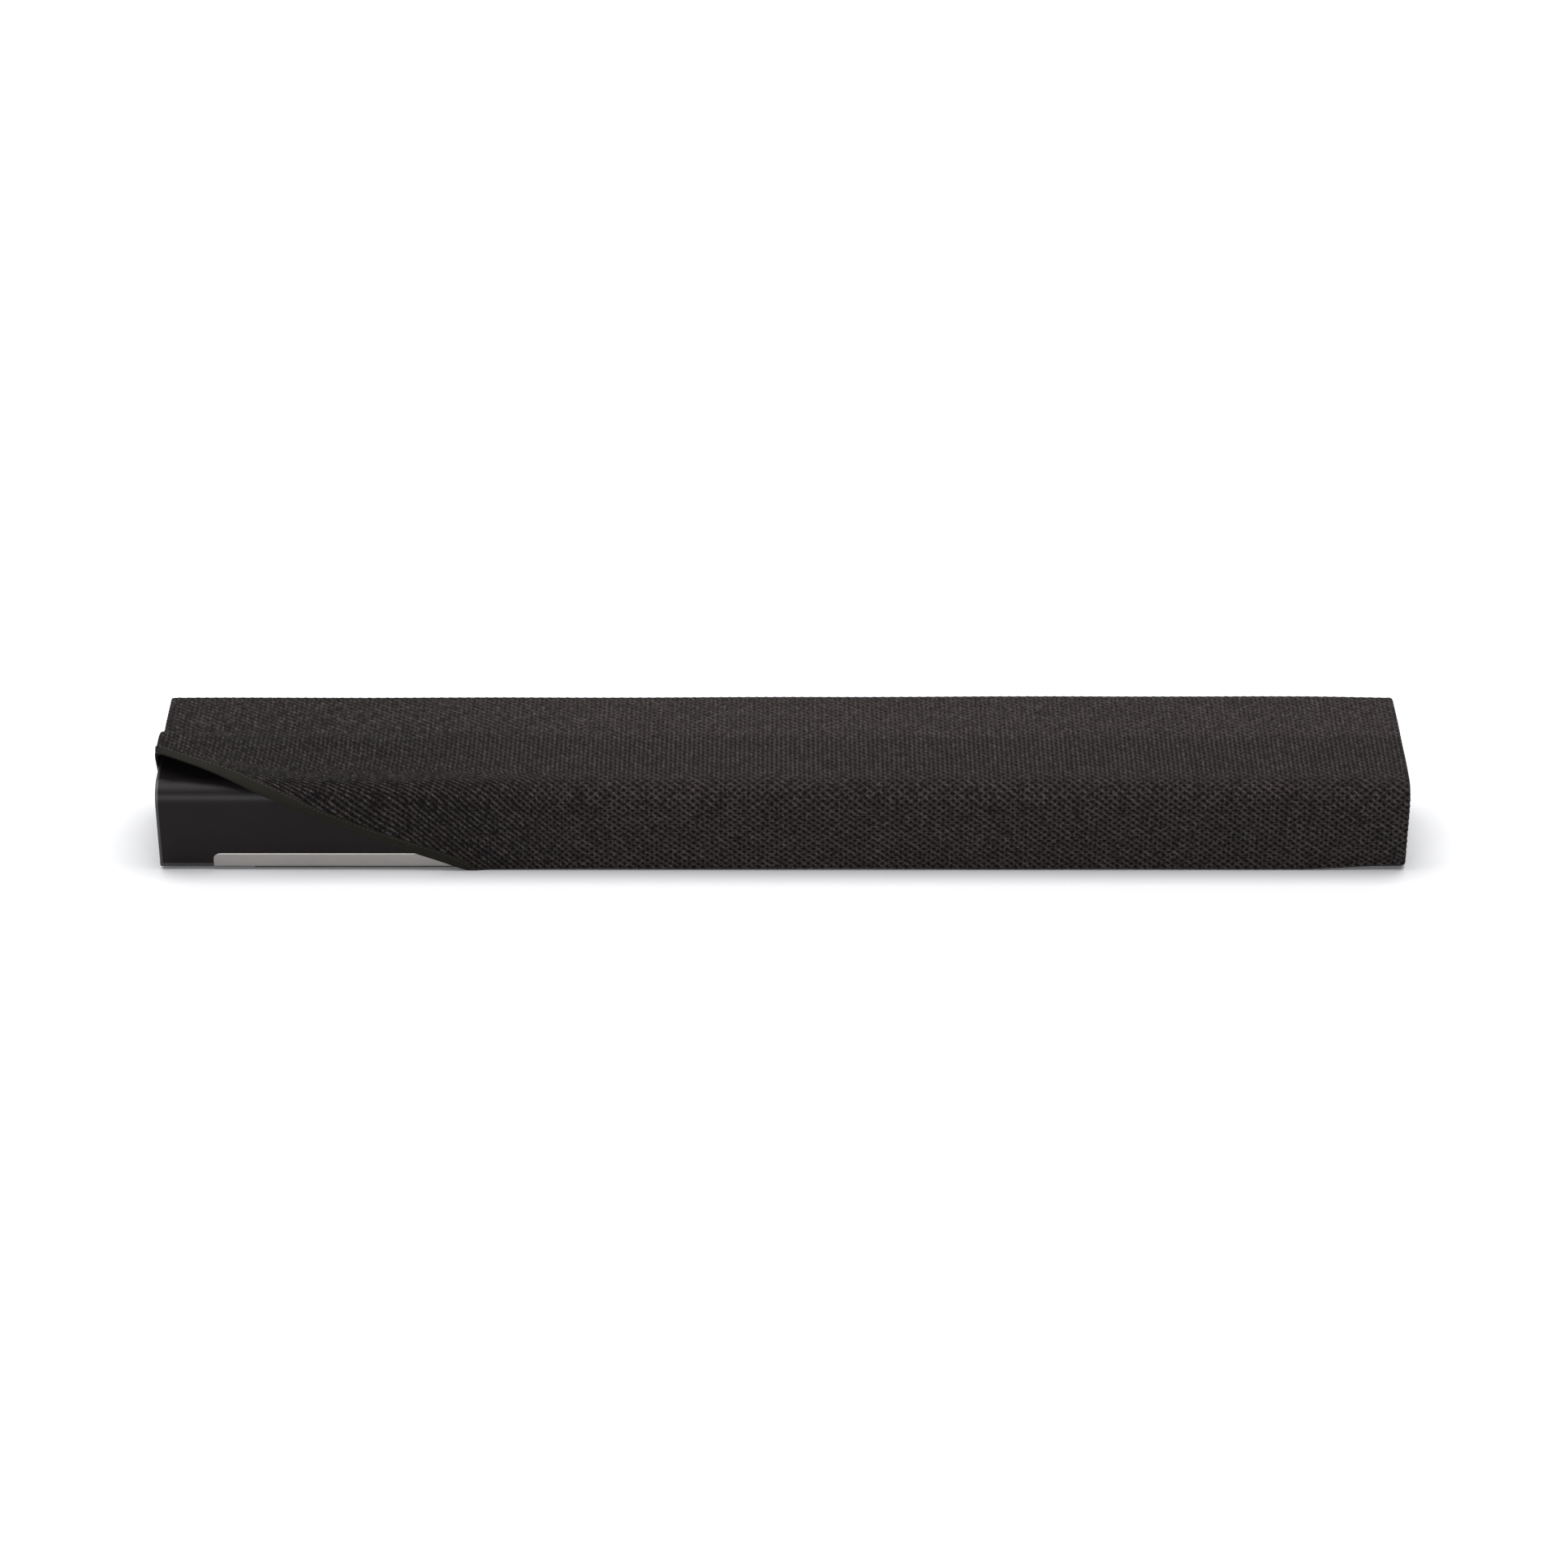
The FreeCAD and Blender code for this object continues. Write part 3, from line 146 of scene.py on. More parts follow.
class Nodes:
    """Short calls for building one material's node tree."""

    def __init__(self, name):
        self.material = bpy.data.materials.new(name)
        self.material.use_nodes = True
        self.tree = self.material.node_tree
        self.shader = self.tree.nodes["Principled BSDF"]

    def add(self, kind, **settings):
        node = self.tree.nodes.new(kind)
        for key, value in settings.items():
            setattr(node, key, value)
        return node

    def link(self, value, socket):
        if isinstance(value, bpy.types.NodeSocket):
            self.tree.links.new(value, socket)
        else:
            socket.default_value = value

    def colour(self, value, socket):
        self.link(value if isinstance(value, bpy.types.NodeSocket) else (*value, 1.0), socket)

    def math(self, operation, a, b=0.0, c=0.0):
        node = self.add("ShaderNodeMath", operation=operation)
        for value, socket in zip((a, b, c), node.inputs):
            self.link(value, socket)
        return node.outputs[0]

    def times(self, a, b):
        return self.math("MULTIPLY", a, b)

    def plus(self, a, b):
        return self.math("ADD", a, b)

    def coordinates(self, kind="Object"):
        return self.add("ShaderNodeTexCoord").outputs[kind]

    def scaled(self, vector, scale):
        node = self.add("ShaderNodeMapping")
        self.link(vector, node.inputs["Vector"])
        node.inputs["Scale"].default_value = scale
        return node.outputs[0]

    def noise(self, vector, scale, detail=3.0, roughness=0.5):
        node = self.add("ShaderNodeTexNoise")
        self.link(vector, node.inputs["Vector"])
        node.inputs["Scale"].default_value = scale
        node.inputs["Detail"].default_value = detail
        node.inputs["Roughness"].default_value = roughness
        return node.outputs[0]

    def span(self, value, low, high, to_low, to_high):
        node = self.add("ShaderNodeMapRange", clamp=True)
        for item, socket in zip((value, low, high, to_low, to_high), node.inputs):
            self.link(item, socket)
        return node.outputs[0]

    def split(self, vector):
        node = self.add("ShaderNodeSeparateXYZ")
        self.link(vector, node.inputs[0])
        return node.outputs

    def mix(self, share, a, b):
        node = self.add("ShaderNodeMix", data_type="RGBA")
        self.link(share, node.inputs[0])
        self.colour(a, node.inputs[6])
        self.colour(b, node.inputs[7])
        return node.outputs[2]

    def bump(self, height, strength, distance):
        node = self.add("ShaderNodeBump")
        self.link(height, node.inputs["Height"])
        node.inputs["Strength"].default_value = strength
        node.inputs["Distance"].default_value = distance
        self.link(node.outputs[0], self.shader.inputs["Normal"])

    def finish(self, colour, roughness, **fixed):
        self.colour(colour, self.shader.inputs["Base Color"])
        self.link(roughness, self.shader.inputs["Roughness"])
        for key, value in fixed.items():
            self.shader.inputs[key.replace("_", " ")].default_value = value
        return self.material


def knit_material():
    """The open knit, in the UV's thread phases.

    Two families of slanting threads run round near-black holes. On the slope and the top they lie flatter
    and show one rib to a wale instead. Its look changes between places along or across, in millimetres.
    Its colour also carries painted shade and light: darker on the slope, lighter on the front and darker
    towards the lifted front left corner.
    """
    crease_ends = (-6.0, 6.0)  # along, as are the next two
    slope_ends = (54.0, 68.0)
    front_ends = (70.0, 96.0)
    pulled_part = (-330.0, -90.0)  # across, as is the next one
    one_way_part = (-240.0, -140.0)
    ridge = 2.8  # the higher, the narrower a thread's lit ridge
    flattening = 0.45
    flat_level = 0.6
    n = Nodes("knit")
    uv = n.split(n.coordinates("UV"))
    place = n.coordinates()
    wander = n.noise(place, 60.0, 2.0)
    phases = []
    for axis, push in ((0, 0.5), (1, -0.5)):
        drift = n.times(n.math("SUBTRACT", wander, 0.5), push)
        phases.append(n.plus(uv[axis], drift))
    threads = []
    for phase in phases:
        wave = n.math("SINE", n.times(phase, math.pi))
        threads.append(n.math("ABSOLUTE", wave))
    along = n.times(n.math("SUBTRACT", phases[0], phases[1]), COURSE)
    wales = n.plus(phases[0], phases[1])
    across = n.times(wales, WALE)
    upper = n.span(along, *slope_ends, 1.0, 0.0)
    falling = n.math("POWER", threads[1], ridge)
    rising = n.times(n.math("POWER", threads[0], ridge), n.span(across, *one_way_part, 0.35, 0.75))
    flat = n.times(upper, flattening)
    thread = n.times(n.math("MAXIMUM", falling, rising), n.math("SUBTRACT", 1.0, flat))
    thread = n.plus(thread, n.times(flat, flat_level))
    ribbed = n.times(upper, n.span(along, *crease_ends, 0.22, 0.5))
    rib = n.math("SUBTRACT", 1.0, n.times(ribbed, n.math("COSINE", n.times(wales, 2 * math.pi))))
    fibre = n.noise(place, 560.0, 3.0, 0.7)
    blotch = n.noise(place, 190.0, 3.0, 0.65)
    # Painted shade and light: the colour is scaled to 0.92 on the top, 0.66 on the slope and about 0.87 on
    # the front, and down to 0.80 towards the lifted left corner, standing in for how the light falls there.
    pull_and_painted_shade = n.times(n.span(along, *crease_ends, 0.92, 0.66), n.span(along, *front_ends, 1.0, 1.32))
    pull_and_painted_shade = n.times(pull_and_painted_shade, n.span(across, *pulled_part, 0.80, 1.0))
    lit = n.times(n.times(thread, rib), pull_and_painted_shade)
    lit = n.times(lit, n.span(fibre, 0.35, 0.65, 0.15, 1.85))
    lit = n.times(lit, n.span(blotch, 0.3, 0.7, 0.65, 1.35))
    uneven = n.span(n.noise(n.scaled(place, (1.0, 0.45, 0.45)), 330.0, 2.0, 0.7), 0.35, 0.65, -1.0, 1.0)
    uneven = n.times(uneven, n.span(across, *pulled_part, 0.65, 0.28))
    lit = n.times(lit, n.plus(uneven, 1.0))
    tint = n.mix(n.span(blotch, 0.4, 0.6, 0.0, 1.0), (0.0500, 0.0400, 0.0370), (0.0430, 0.0370, 0.0370))
    colour = n.mix(n.span(lit, 0.05, 1.75, 0.0, 1.0), (0.0018, 0.0014, 0.0015), tint)
    n.bump(n.plus(n.times(thread, 0.7), n.times(fibre, 0.3)), 0.75, 0.0006)
    return n.finish(colour, 0.92, Sheen_Weight=0.02, Sheen_Roughness=0.5, Specular_IOR_Level=0.05)


def tape_material():
    """Smooth woven binding with a fine rib across it."""
    rib_pitch = 0.9
    n = Nodes("binding_tape")
    run = n.split(n.coordinates("UV"))[0]
    rib = n.math("SINE", n.times(run, 2 * math.pi / rib_pitch))
    rib = n.math("MULTIPLY_ADD", rib, 0.5, 0.5)
    place = n.coordinates()
    worn = n.noise(place, 120.0, 4.0, 0.6)
    fibre = n.noise(place, 3000.0, 2.0)
    colour = n.mix(n.span(worn, 0.35, 0.65, 0.0, 1.0), (0.0058, 0.0052, 0.0038), (0.0085, 0.0076, 0.0058))
    n.bump(n.plus(n.times(rib, 0.5), n.times(fibre, 0.5)), 0.35, 0.0003)
    return n.finish(colour, n.span(worn, 0.3, 0.7, 0.72, 0.85), Specular_IOR_Level=0.07)


def cloth_material():
    """Tight acoustic cloth, stretched smooth: a fine weave with a satin surface."""
    weave_pitch = 0.0006
    n = Nodes("acoustic_cloth")
    place = n.coordinates()
    x, y, z = n.split(place)
    across = n.math("SINE", n.times(x, 2 * math.pi / weave_pitch))
    along = n.math("SINE", n.times(n.plus(y, z), 2 * math.pi / weave_pitch))
    weave = n.math("MULTIPLY_ADD", n.times(across, along), 0.5, 0.5)
    cloud = n.noise(place, 22.0, 4.0, 0.6)
    colour = n.mix(n.span(cloud, 0.35, 0.65, 0.0, 1.0), (0.0050, 0.0040, 0.0044), (0.0063, 0.0051, 0.0055))
    n.bump(weave, 0.18, 0.00012)
    return n.finish(colour, n.span(cloud, 0.3, 0.7, 0.30, 0.35), Specular_IOR_Level=0.085)


def grained_material(name, dark, light, roughness, grain, strength):
    """Plastic, rubber, paint, ferrite, silk or thread: an even grain with faint clouding."""
    n = Nodes(name)
    place = n.coordinates()
    grain_height = n.noise(place, grain, 3.0, 0.55)
    cloud = n.noise(place, 30.0, 5.0, 0.65)
    colour = n.mix(n.span(cloud, 0.35, 0.65, 0.0, 1.0), dark, light)
    n.bump(grain_height, strength, 0.00015)
    return n.finish(colour, n.span(cloud, 0.3, 0.7, roughness - 0.06, roughness + 0.06))


def brushed_material(name, dark, light, roughness, direction):
    """Brushed metal, its lines along the axis that has the smallest number in direction."""
    n = Nodes(name)
    place = n.coordinates()
    lines = n.noise(n.scaled(place, direction), 6.0, 4.0, 0.6)
    cloud = n.noise(place, 18.0, 3.0)
    colour = n.mix(n.span(lines, 0.3, 0.7, 0.0, 1.0), dark, light)
    rough = n.plus(
        n.span(lines, 0.3, 0.7, roughness - 0.05, roughness + 0.06),
        n.span(cloud, 0.3, 0.7, 0.0, 0.05),
    )
    n.bump(lines, 0.12, 0.00008)
    return n.finish(colour, rough, Metallic=1.0)


def board_material():
    """Solder mask over copper tracks."""
    n = Nodes("circuit_board")
    place = n.coordinates()
    brick = n.add("ShaderNodeTexBrick", offset=0.5)
    n.link(place, brick.inputs["Vector"])
    brick.inputs["Scale"].default_value = 160.0
    brick.inputs["Mortar Size"].default_value = 0.06
    track = brick.outputs["Fac"]
    cloud = n.noise(place, 40.0, 3.0)
    green = n.mix(n.span(cloud, 0.3, 0.7, 0.0, 1.0), (0.008, 0.075, 0.035), (0.012, 0.10, 0.045))
    colour = n.mix(track, green, (0.03, 0.17, 0.075))
    n.bump(track, 0.3, 0.0001)
    return n.finish(colour, n.span(cloud, 0.3, 0.7, 0.32, 0.42))


def foam_material():
    """Open-cell foam."""
    n = Nodes("foam")
    place = n.coordinates()
    cells = n.add("ShaderNodeTexVoronoi")
    n.link(place, cells.inputs["Vector"])
    cells.inputs["Scale"].default_value = 700.0
    cell = cells.outputs["Distance"]
    colour = n.mix(n.span(cell, 0.0, 0.7, 0.0, 1.0), (0.015, 0.015, 0.016), (0.075, 0.075, 0.078))
    n.bump(cell, 0.8, 0.0006)
    return n.finish(colour, 0.95)


def paper_material():
    """Pressed pulp with visible fibres."""
    n = Nodes("cone_paper")
    place = n.coordinates()
    fibres = n.noise(n.scaled(place, (1.0, 3.0, 1.0)), 900.0, 5.0, 0.7)
    cloud = n.noise(place, 90.0, 3.0)
    colour = n.mix(n.span(fibres, 0.35, 0.65, 0.0, 1.0), (0.014, 0.014, 0.015), (0.035, 0.034, 0.034))
    n.bump(fibres, 0.5, 0.0002)
    return n.finish(colour, n.span(cloud, 0.3, 0.7, 0.75, 0.88))


def clear_material():
    """Clear acrylic with a faintly uneven polish."""
    n = Nodes("clear_acrylic")
    cloud = n.noise(n.coordinates(), 200.0, 3.0)
    polish = n.span(cloud, 0.3, 0.7, 0.04, 0.12)
    return n.finish((0.85, 0.87, 0.88), polish, Transmission_Weight=0.8, IOR=1.49)


# ---------------------------------------------------------------- mesh helpers


def piece(name, points, faces, material, body, uv=None, smooth=True):
    """A mesh object from points in millimetres. uv gives each point's coordinates."""
    mesh = bpy.data.meshes.new(name)
    points = np.asarray(points, dtype=float) * MM
    mesh.from_pydata(points.tolist(), [], [list(map(int, face)) for face in faces])
    if uv is not None:
        layer = mesh.uv_layers.new(name="threads")
        corners = np.empty(len(mesh.loops), dtype=np.int32)
        mesh.loops.foreach_get("vertex_index", corners)
        layer.data.foreach_set("uv", np.asarray(uv, dtype=np.float32)[corners].ravel())
    mesh.materials.append(material)
    mesh.polygons.foreach_set("use_smooth", [smooth] * len(mesh.polygons))
    mesh.validate()
    mesh.update()
    thing = bpy.data.objects.new(name, mesh)
    bpy.context.scene.collection.objects.link(thing)
    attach(thing, body)
    return thing


def smoothstep(low, high, value):
    share = np.clip((np.asarray(value, dtype=float) - low) / (high - low), 0.0, 1.0)
    return share * share * (3.0 - 2.0 * share)


def meet(p, a, q, b):
    """Where the line through p along a crosses the line through q along b."""
    cross = a[0] * b[1] - a[1] * b[0]
    reach = ((q[0] - p[0]) * b[1] - (q[1] - p[1]) * b[0]) / cross
    return (p[0] + a[0] * reach, p[1] + a[1] * reach)


def offset_path(corners, offsets):
    """An open run of (y, z) corners, each leg moved to its right by its own offset."""
    legs = []
    for (start, end), off in zip(zip(corners, corners[1:]), offsets):
        length = math.dist(start, end)
        along = ((end[0] - start[0]) / length, (end[1] - start[1]) / length)
        side = (along[1] * off, -along[0] * off)
        legs.append(((start[0] + side[0], start[1] + side[1]), along, (end[0] + side[0], end[1] + side[1])))
    moved = [legs[0][0]]
    for (p, a, _), (q, b, _) in zip(legs, legs[1:]):
        moved.append(meet(p, a, q, b))
    return moved + [legs[-1][2]]


def rounded_path(corners, radii, step=0.25):
    """Points along an open run of corners, each inner corner rounded with its arc, evenly close."""
    runs = [np.array(corners[0])]
    for before, corner, after, radius in zip(corners, corners[1:], corners[2:], radii):
        corner = np.array(corner)
        back = np.array(before) - corner
        ahead = np.array(after) - corner
        back /= np.linalg.norm(back)
        ahead /= np.linalg.norm(ahead)
        half = math.acos(float(np.clip(back @ ahead, -1, 1))) / 2
        middle = (back + ahead) / np.linalg.norm(back + ahead)
        centre = corner + middle * radius / math.sin(half)
        start = corner + back * radius / math.tan(half) - centre
        end = corner + ahead * radius / math.tan(half) - centre
        turn = math.pi - 2 * half
        count = max(3, int(turn * radius / step) + 1)
        for share in np.linspace(0.0, 1.0, count):
            blend = (math.sin((1 - share) * turn) * start + math.sin(share * turn) * end) / math.sin(turn)
            runs.append(centre + blend)
    runs.append(np.array(corners[-1]))
    dense = [runs[0]]
    for start, end in zip(runs, runs[1:]):
        count = max(1, int(np.linalg.norm(end - start) / step))
        for k in range(1, count + 1):
            dense.append(start + (end - start) * k / count)
    return np.array(dense)


# ---------------------------------------------------------------- the cover's surface


class CoverSection:
    """The knit's section: s runs along it in millimetres, from 0 at the crease, forwards."""

    def __init__(self):
        corners = [
            (BACK, HEM_LOW),
            (BACK, TOP),
            CREASE,
            NOSE_CORNER,
            (FRONT_FOOT - FOOT_PUSH, UNDERSIDE),
            (FRONT_FOOT + UNDER_REACH, UNDERSIDE),
        ]
        offsets = [BACK_OFF, TOP_OFF, CLOTH_OFF, CLOTH_OFF, UNDER_OFF]
        radii = [BACK_SOFTNESS, CREASE_SOFTNESS, NOSE_RADIUS + CLOTH_OFF, FOOT_SOFTNESS]
        points = rounded_path(offset_path(corners, offsets), radii)
        steps = np.linalg.norm(np.diff(points, axis=0), axis=1)
        run = np.concatenate([[0.0], np.cumsum(steps)])
        on_top = points[:, 1] > CREASE[1] - CREASE_SOFTNESS
        self.s = run - run[np.argmin(np.where(on_top, np.abs(points[:, 0] - CREASE[0]), np.inf))]
        self.y = points[:, 0]
        self.z = points[:, 1]
        self.first = self.s[0]
        self.last = self.s[-1]

    def at(self, s):
        """(y, z) and the outward normal's (y, z) at s."""
        y = np.interp(s, self.s, self.y)
        z = np.interp(s, self.s, self.z)
        near = 0.6
        dy = np.interp(s + near, self.s, self.y) - np.interp(s - near, self.s, self.y)
        dz = np.interp(s + near, self.s, self.z) - np.interp(s - near, self.s, self.z)
        size = np.hypot(dy, dz) + 1e-9
        return y, z, dz / size, -dy / size

    def s_on_back(self, z):
        """s on the back wall at height z."""
        return self.first + (z - HEM_LOW)


SECTION = CoverSection()


def hump(x, s, place, size):
    """A soft hump round a place on the knit, from its reach across, its reach along and its height."""
    across = (x - place[0]) / size[0]
    along = (s - place[1]) / size[1]
    return size[2] * np.exp(-(across**2) - along**2)


def loose(x, s):
    """How far the knit stands off its tight shape: (along y, along z)."""
    pull_and_painted_shade = smoothstep(TENT_FROM, TENT_TO, x)
    rise = smoothstep(TENT_BEHIND, TENT_BEHIND + TENT_RUN, s)
    tent = TENT_HEIGHT * pull_and_painted_shade * rise
    drag = hump(x, s - DRAG_SLANT * (x - DRAG_PLACE[0]), DRAG_PLACE, DRAG_SIZE)
    dimple = hump(x, s, DIMPLE_PLACE, DIMPLE_SIZE)
    ripple = RIPPLE * np.sin(x / 47.0 + 0.6) * np.sin(s / 21.0 + x / 90.0)
    between_ends = smoothstep(-400.0, 250.0, x) * smoothstep(480.0, 380.0, x)
    slack = BACK_SLACK * between_ends * smoothstep(-30.0, -60.0, s)
    near_edge = smoothstep(SECTION.last - 20.0, SECTION.last - 5.0, s)
    corner = CORNER_LIFT * smoothstep(RIGHT - 78.0, RIGHT + 2.0, x) * near_edge
    lift = tent + drag + dimple + ripple + slack
    return -FORWARD_SHARE * lift, lift + corner


def draped_point(x, s):
    """The knit's surface at x and s with its folds, and the section's normal, as arrays (..., 3)."""
    x, s = np.broadcast_arrays(np.asarray(x, dtype=float), np.asarray(s, dtype=float))
    y, z, ny, nz = SECTION.at(s)
    ey, ez = loose(x, s)
    point = np.stack([x, y + ey, z + ez], axis=-1)
    normal = np.stack([np.zeros_like(x), ny, nz], axis=-1)
    return point, normal


def surface(u, s):
    """The knit's surface at u across and s along, its edges bent round the bar's ends."""
    u, s = np.broadcast_arrays(np.asarray(u, dtype=float), np.asarray(s, dtype=float))
    flat_half = np.where(u < 0, END_OFF_LEFT - LEFT, END_OFF_RIGHT + RIGHT) - CORNER_BEND
    x = np.clip(u, -flat_half, flat_half)
    point, normal = draped_point(x, s)
    over = np.abs(u) - flat_half
    angle = np.clip(over / CORNER_BEND, 0.0, math.pi / 2)
    tuck = np.clip(over - CORNER_BEND * math.pi / 2, 0.0, None)
    side = np.sign(u)
    outward = np.zeros_like(point)
    outward[..., 0] = side
    bend = (over > 0)[..., None]
    moved = (
        point
        + outward * (np.sin(angle) * CORNER_BEND)[..., None]
        - normal * ((1 - np.cos(angle)) * CORNER_BEND + tuck)[..., None]
    )
    turned = normal * np.cos(angle)[..., None] + outward * np.sin(angle)[..., None]
    return np.where(bend, moved, point), np.where(bend, turned, normal)


def sight_height(point):
    """Height square to the line of sight, on which the pulled-up hem is set out."""
    return point[..., 2] * math.cos(SIGHT_TILT) + point[..., 1] * math.sin(SIGHT_TILT)


def smooth_curve(points, x):
    """A soft curve through points: a cubic between each two, with slopes taken from their neighbours."""
    px, py = np.array(points).T
    slopes = np.gradient(py, px)
    i = np.clip(np.searchsorted(px, x) - 1, 0, len(px) - 2)
    width = px[i + 1] - px[i]
    t = np.clip((x - px[i]) / width, 0.0, 1.0)
    first = 2 * t**3 - 3 * t**2 + 1
    rise = (t**3 - 2 * t**2 + t) * slopes[i] + (t**3 - t**2) * slopes[i + 1]
    return first * py[i] + (1 - first) * py[i + 1] + rise * width


def hem_s(x):
    """Where the knit's lower front edge lies along the section at each x."""
    x = np.asarray(x, dtype=float)
    tries = np.arange(0.0, SECTION.last - UNDER_REACH, 0.25)
    upper = np.minimum(x, HEM_TURN_X)
    grid, _ = draped_point(upper[..., None], tries)
    wanted = smooth_curve(HEM_LINE, np.clip(upper, HEM_LINE[0][0], HEM_LINE[-1][0]))
    under = sight_height(grid) <= wanted[..., None]
    found = tries[np.argmax(under, axis=-1)] + HEM_FALL * (x - upper)
    short = (SECTION.last - found) / HEM_SETTLING
    return SECTION.last - HEM_SETTLING * np.logaddexp(0.0, short)


# ---------------------------------------------------------------- the knit


def thread_phases(u, s):
    """The two thread families' phases: whole numbers of both are holes."""
    drag_start = 20.0
    pull = smoothstep(LEAN_FROM, LEAN_FROM - 100.0, u) * smoothstep(drag_start, 90.0, s)
    slip = SLIP * pull * np.sin((s - drag_start) / 60.0)
    lean = LEAN * smoothstep(50.0, 84.0, s) * np.clip(LEAN_FROM - u, 0.0, LEAN_RUN)
    across = (u + slip - lean) / (2 * WALE)
    along = s / (2 * COURSE)
    return across + along, across - along


def knit_relief(points, normals, a, b, depth):
    """Pushes the points in at the knit's holes and lets the threads stand a little proud."""
    sink = (0.5 + 0.5 * np.cos(2 * math.pi * a)) * (0.5 + 0.5 * np.cos(2 * math.pi * b))
    stand = THREAD_STAND * np.abs(np.sin(math.pi * b)) ** 3
    return points + normals * (depth * (stand - sink))[..., None]


def grid_faces(rows, columns, keep):
    """Quads of a rows by columns grid of points, where keep is true."""
    faces = []
    for j in range(rows - 1):
        for i in range(columns - 1):
            if keep[j, i]:
                k = j * columns + i
                faces.append((k, k + 1, k + columns + 1, k + columns))
    return faces


def without_spares(points, faces, uv):
    """Merges points that lie together, drops flat faces and unused points."""
    keys = {}
    new_index = np.empty(len(points), dtype=int)
    for i, key in enumerate(map(tuple, np.round(points, 4))):
        new_index[i] = keys.setdefault(key, i)
    cleaned = []
    for face in faces:
        ring = []
        for corner in face:
            k = int(new_index[corner])
            if k not in ring:
                ring.append(k)
        if len(ring) >= 3:
            cleaned.append(ring)
    used = sorted({k for face in cleaned for k in face})
    place = {k: i for i, k in enumerate(used)}
    return points[used], [[place[k] for k in face] for face in cleaned], uv[used]


def make_main_knit(material):
    """The main panel: back, top and front in one piece, trimmed along the pulled-up hem."""
    fade_in = 8.0
    fade_out = 3.0
    half = RIGHT + END_OFF_RIGHT - CORNER_BEND + CORNER_BEND * math.pi / 2 + CORNER_TUCK
    reach = int(half / (WALE / 2))
    u = np.arange(-reach, reach + 1) * WALE / 2
    back_top = -math.floor((-SECTION.first - (TOP - HEM_LOW)) / COURSE) * COURSE
    fine = np.arange(back_top - 2 * COURSE, SECTION.last + COURSE / 2, COURSE / 2)
    low_window = SECTION.s_on_back(WINDOW_LOW)
    high_window = SECTION.s_on_back(WINDOW_HIGH)
    coarse = [
        np.linspace(SECTION.first, low_window, 3)[:-1],
        np.linspace(low_window, high_window, 12)[:-1],
        np.linspace(high_window, fine[0], 3)[:-1],
    ]
    s = np.concatenate(coarse + [fine])
    end = hem_s(np.clip(u, -HEM_END, HEM_END))
    grid_s = np.minimum(s[:, None], end[None, :])
    grid_u = np.broadcast_to(u[None, :], grid_s.shape)
    points, normals = surface(grid_u, grid_s)
    a, b = thread_phases(grid_u, grid_s)
    textured = smoothstep(fine[0], fine[0] + fade_in, grid_s)
    textured = textured * smoothstep(0.0, fade_out, end[None, :] - grid_s)
    points = knit_relief(points, normals, a, b, HOLE_DEPTH * textured)
    keep = np.ones((len(s) - 1, len(u) - 1), dtype=bool)
    keep &= ~((s[:-1, None] >= end[None, :-1]) & (s[:-1, None] >= end[None, 1:]))
    middle_u = (u[:-1] + u[1:]) / 2
    middle_s = (s[:-1] + s[1:]) / 2
    window_rows = (middle_s > low_window) & (middle_s < high_window)
    keep &= ~(window_rows[:, None] & (np.abs(middle_u)[None, :] < WINDOW_HALF))
    uv = np.stack([a, b], axis=-1).reshape(-1, 2)
    faces = grid_faces(len(s), len(u), keep)
    points, faces, uv = without_spares(points.reshape(-1, 3), faces, uv)
    knit = piece("knit_main", points, faces, material, "cover", uv)
    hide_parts("cover_main_panel")
    return knit


def end_outline(x):
    """The knit's edge over one end of the bar, as (y, z) from the back's foot to the front's."""
    s = np.arange(SECTION.first, SECTION.last - UNDER_REACH, 0.5)
    point, normal = draped_point(np.full_like(s, x), s)
    inner = point - normal * CORNER_BEND
    return inner[:, 1], inner[:, 2]


def end_hem(y):
    """Height of the left end's hem at each y: level at the back, then up a slanting edge to the corner."""
    cut = np.array([-END_CUT])
    corner, _ = draped_point(cut, hem_s(cut))
    share = (END_HEM_FOOT - y) / (END_HEM_FOOT - corner[0, 1])
    slant = HEM_LOW + (corner[0, 2] - HEM_LOW) * share
    sag = END_HEM_SAG * np.sin(np.clip(share, 0.0, 1.0) * math.pi)
    return np.maximum(HEM_LOW, slant - sag)


def right_hem(y):
    """Height of the right end's hem at each y: drawn up a little at the front corner."""
    return HEM_LOW + RIGHT_HEM_LIFT * smoothstep(0.0, FRONT_FOOT, y)


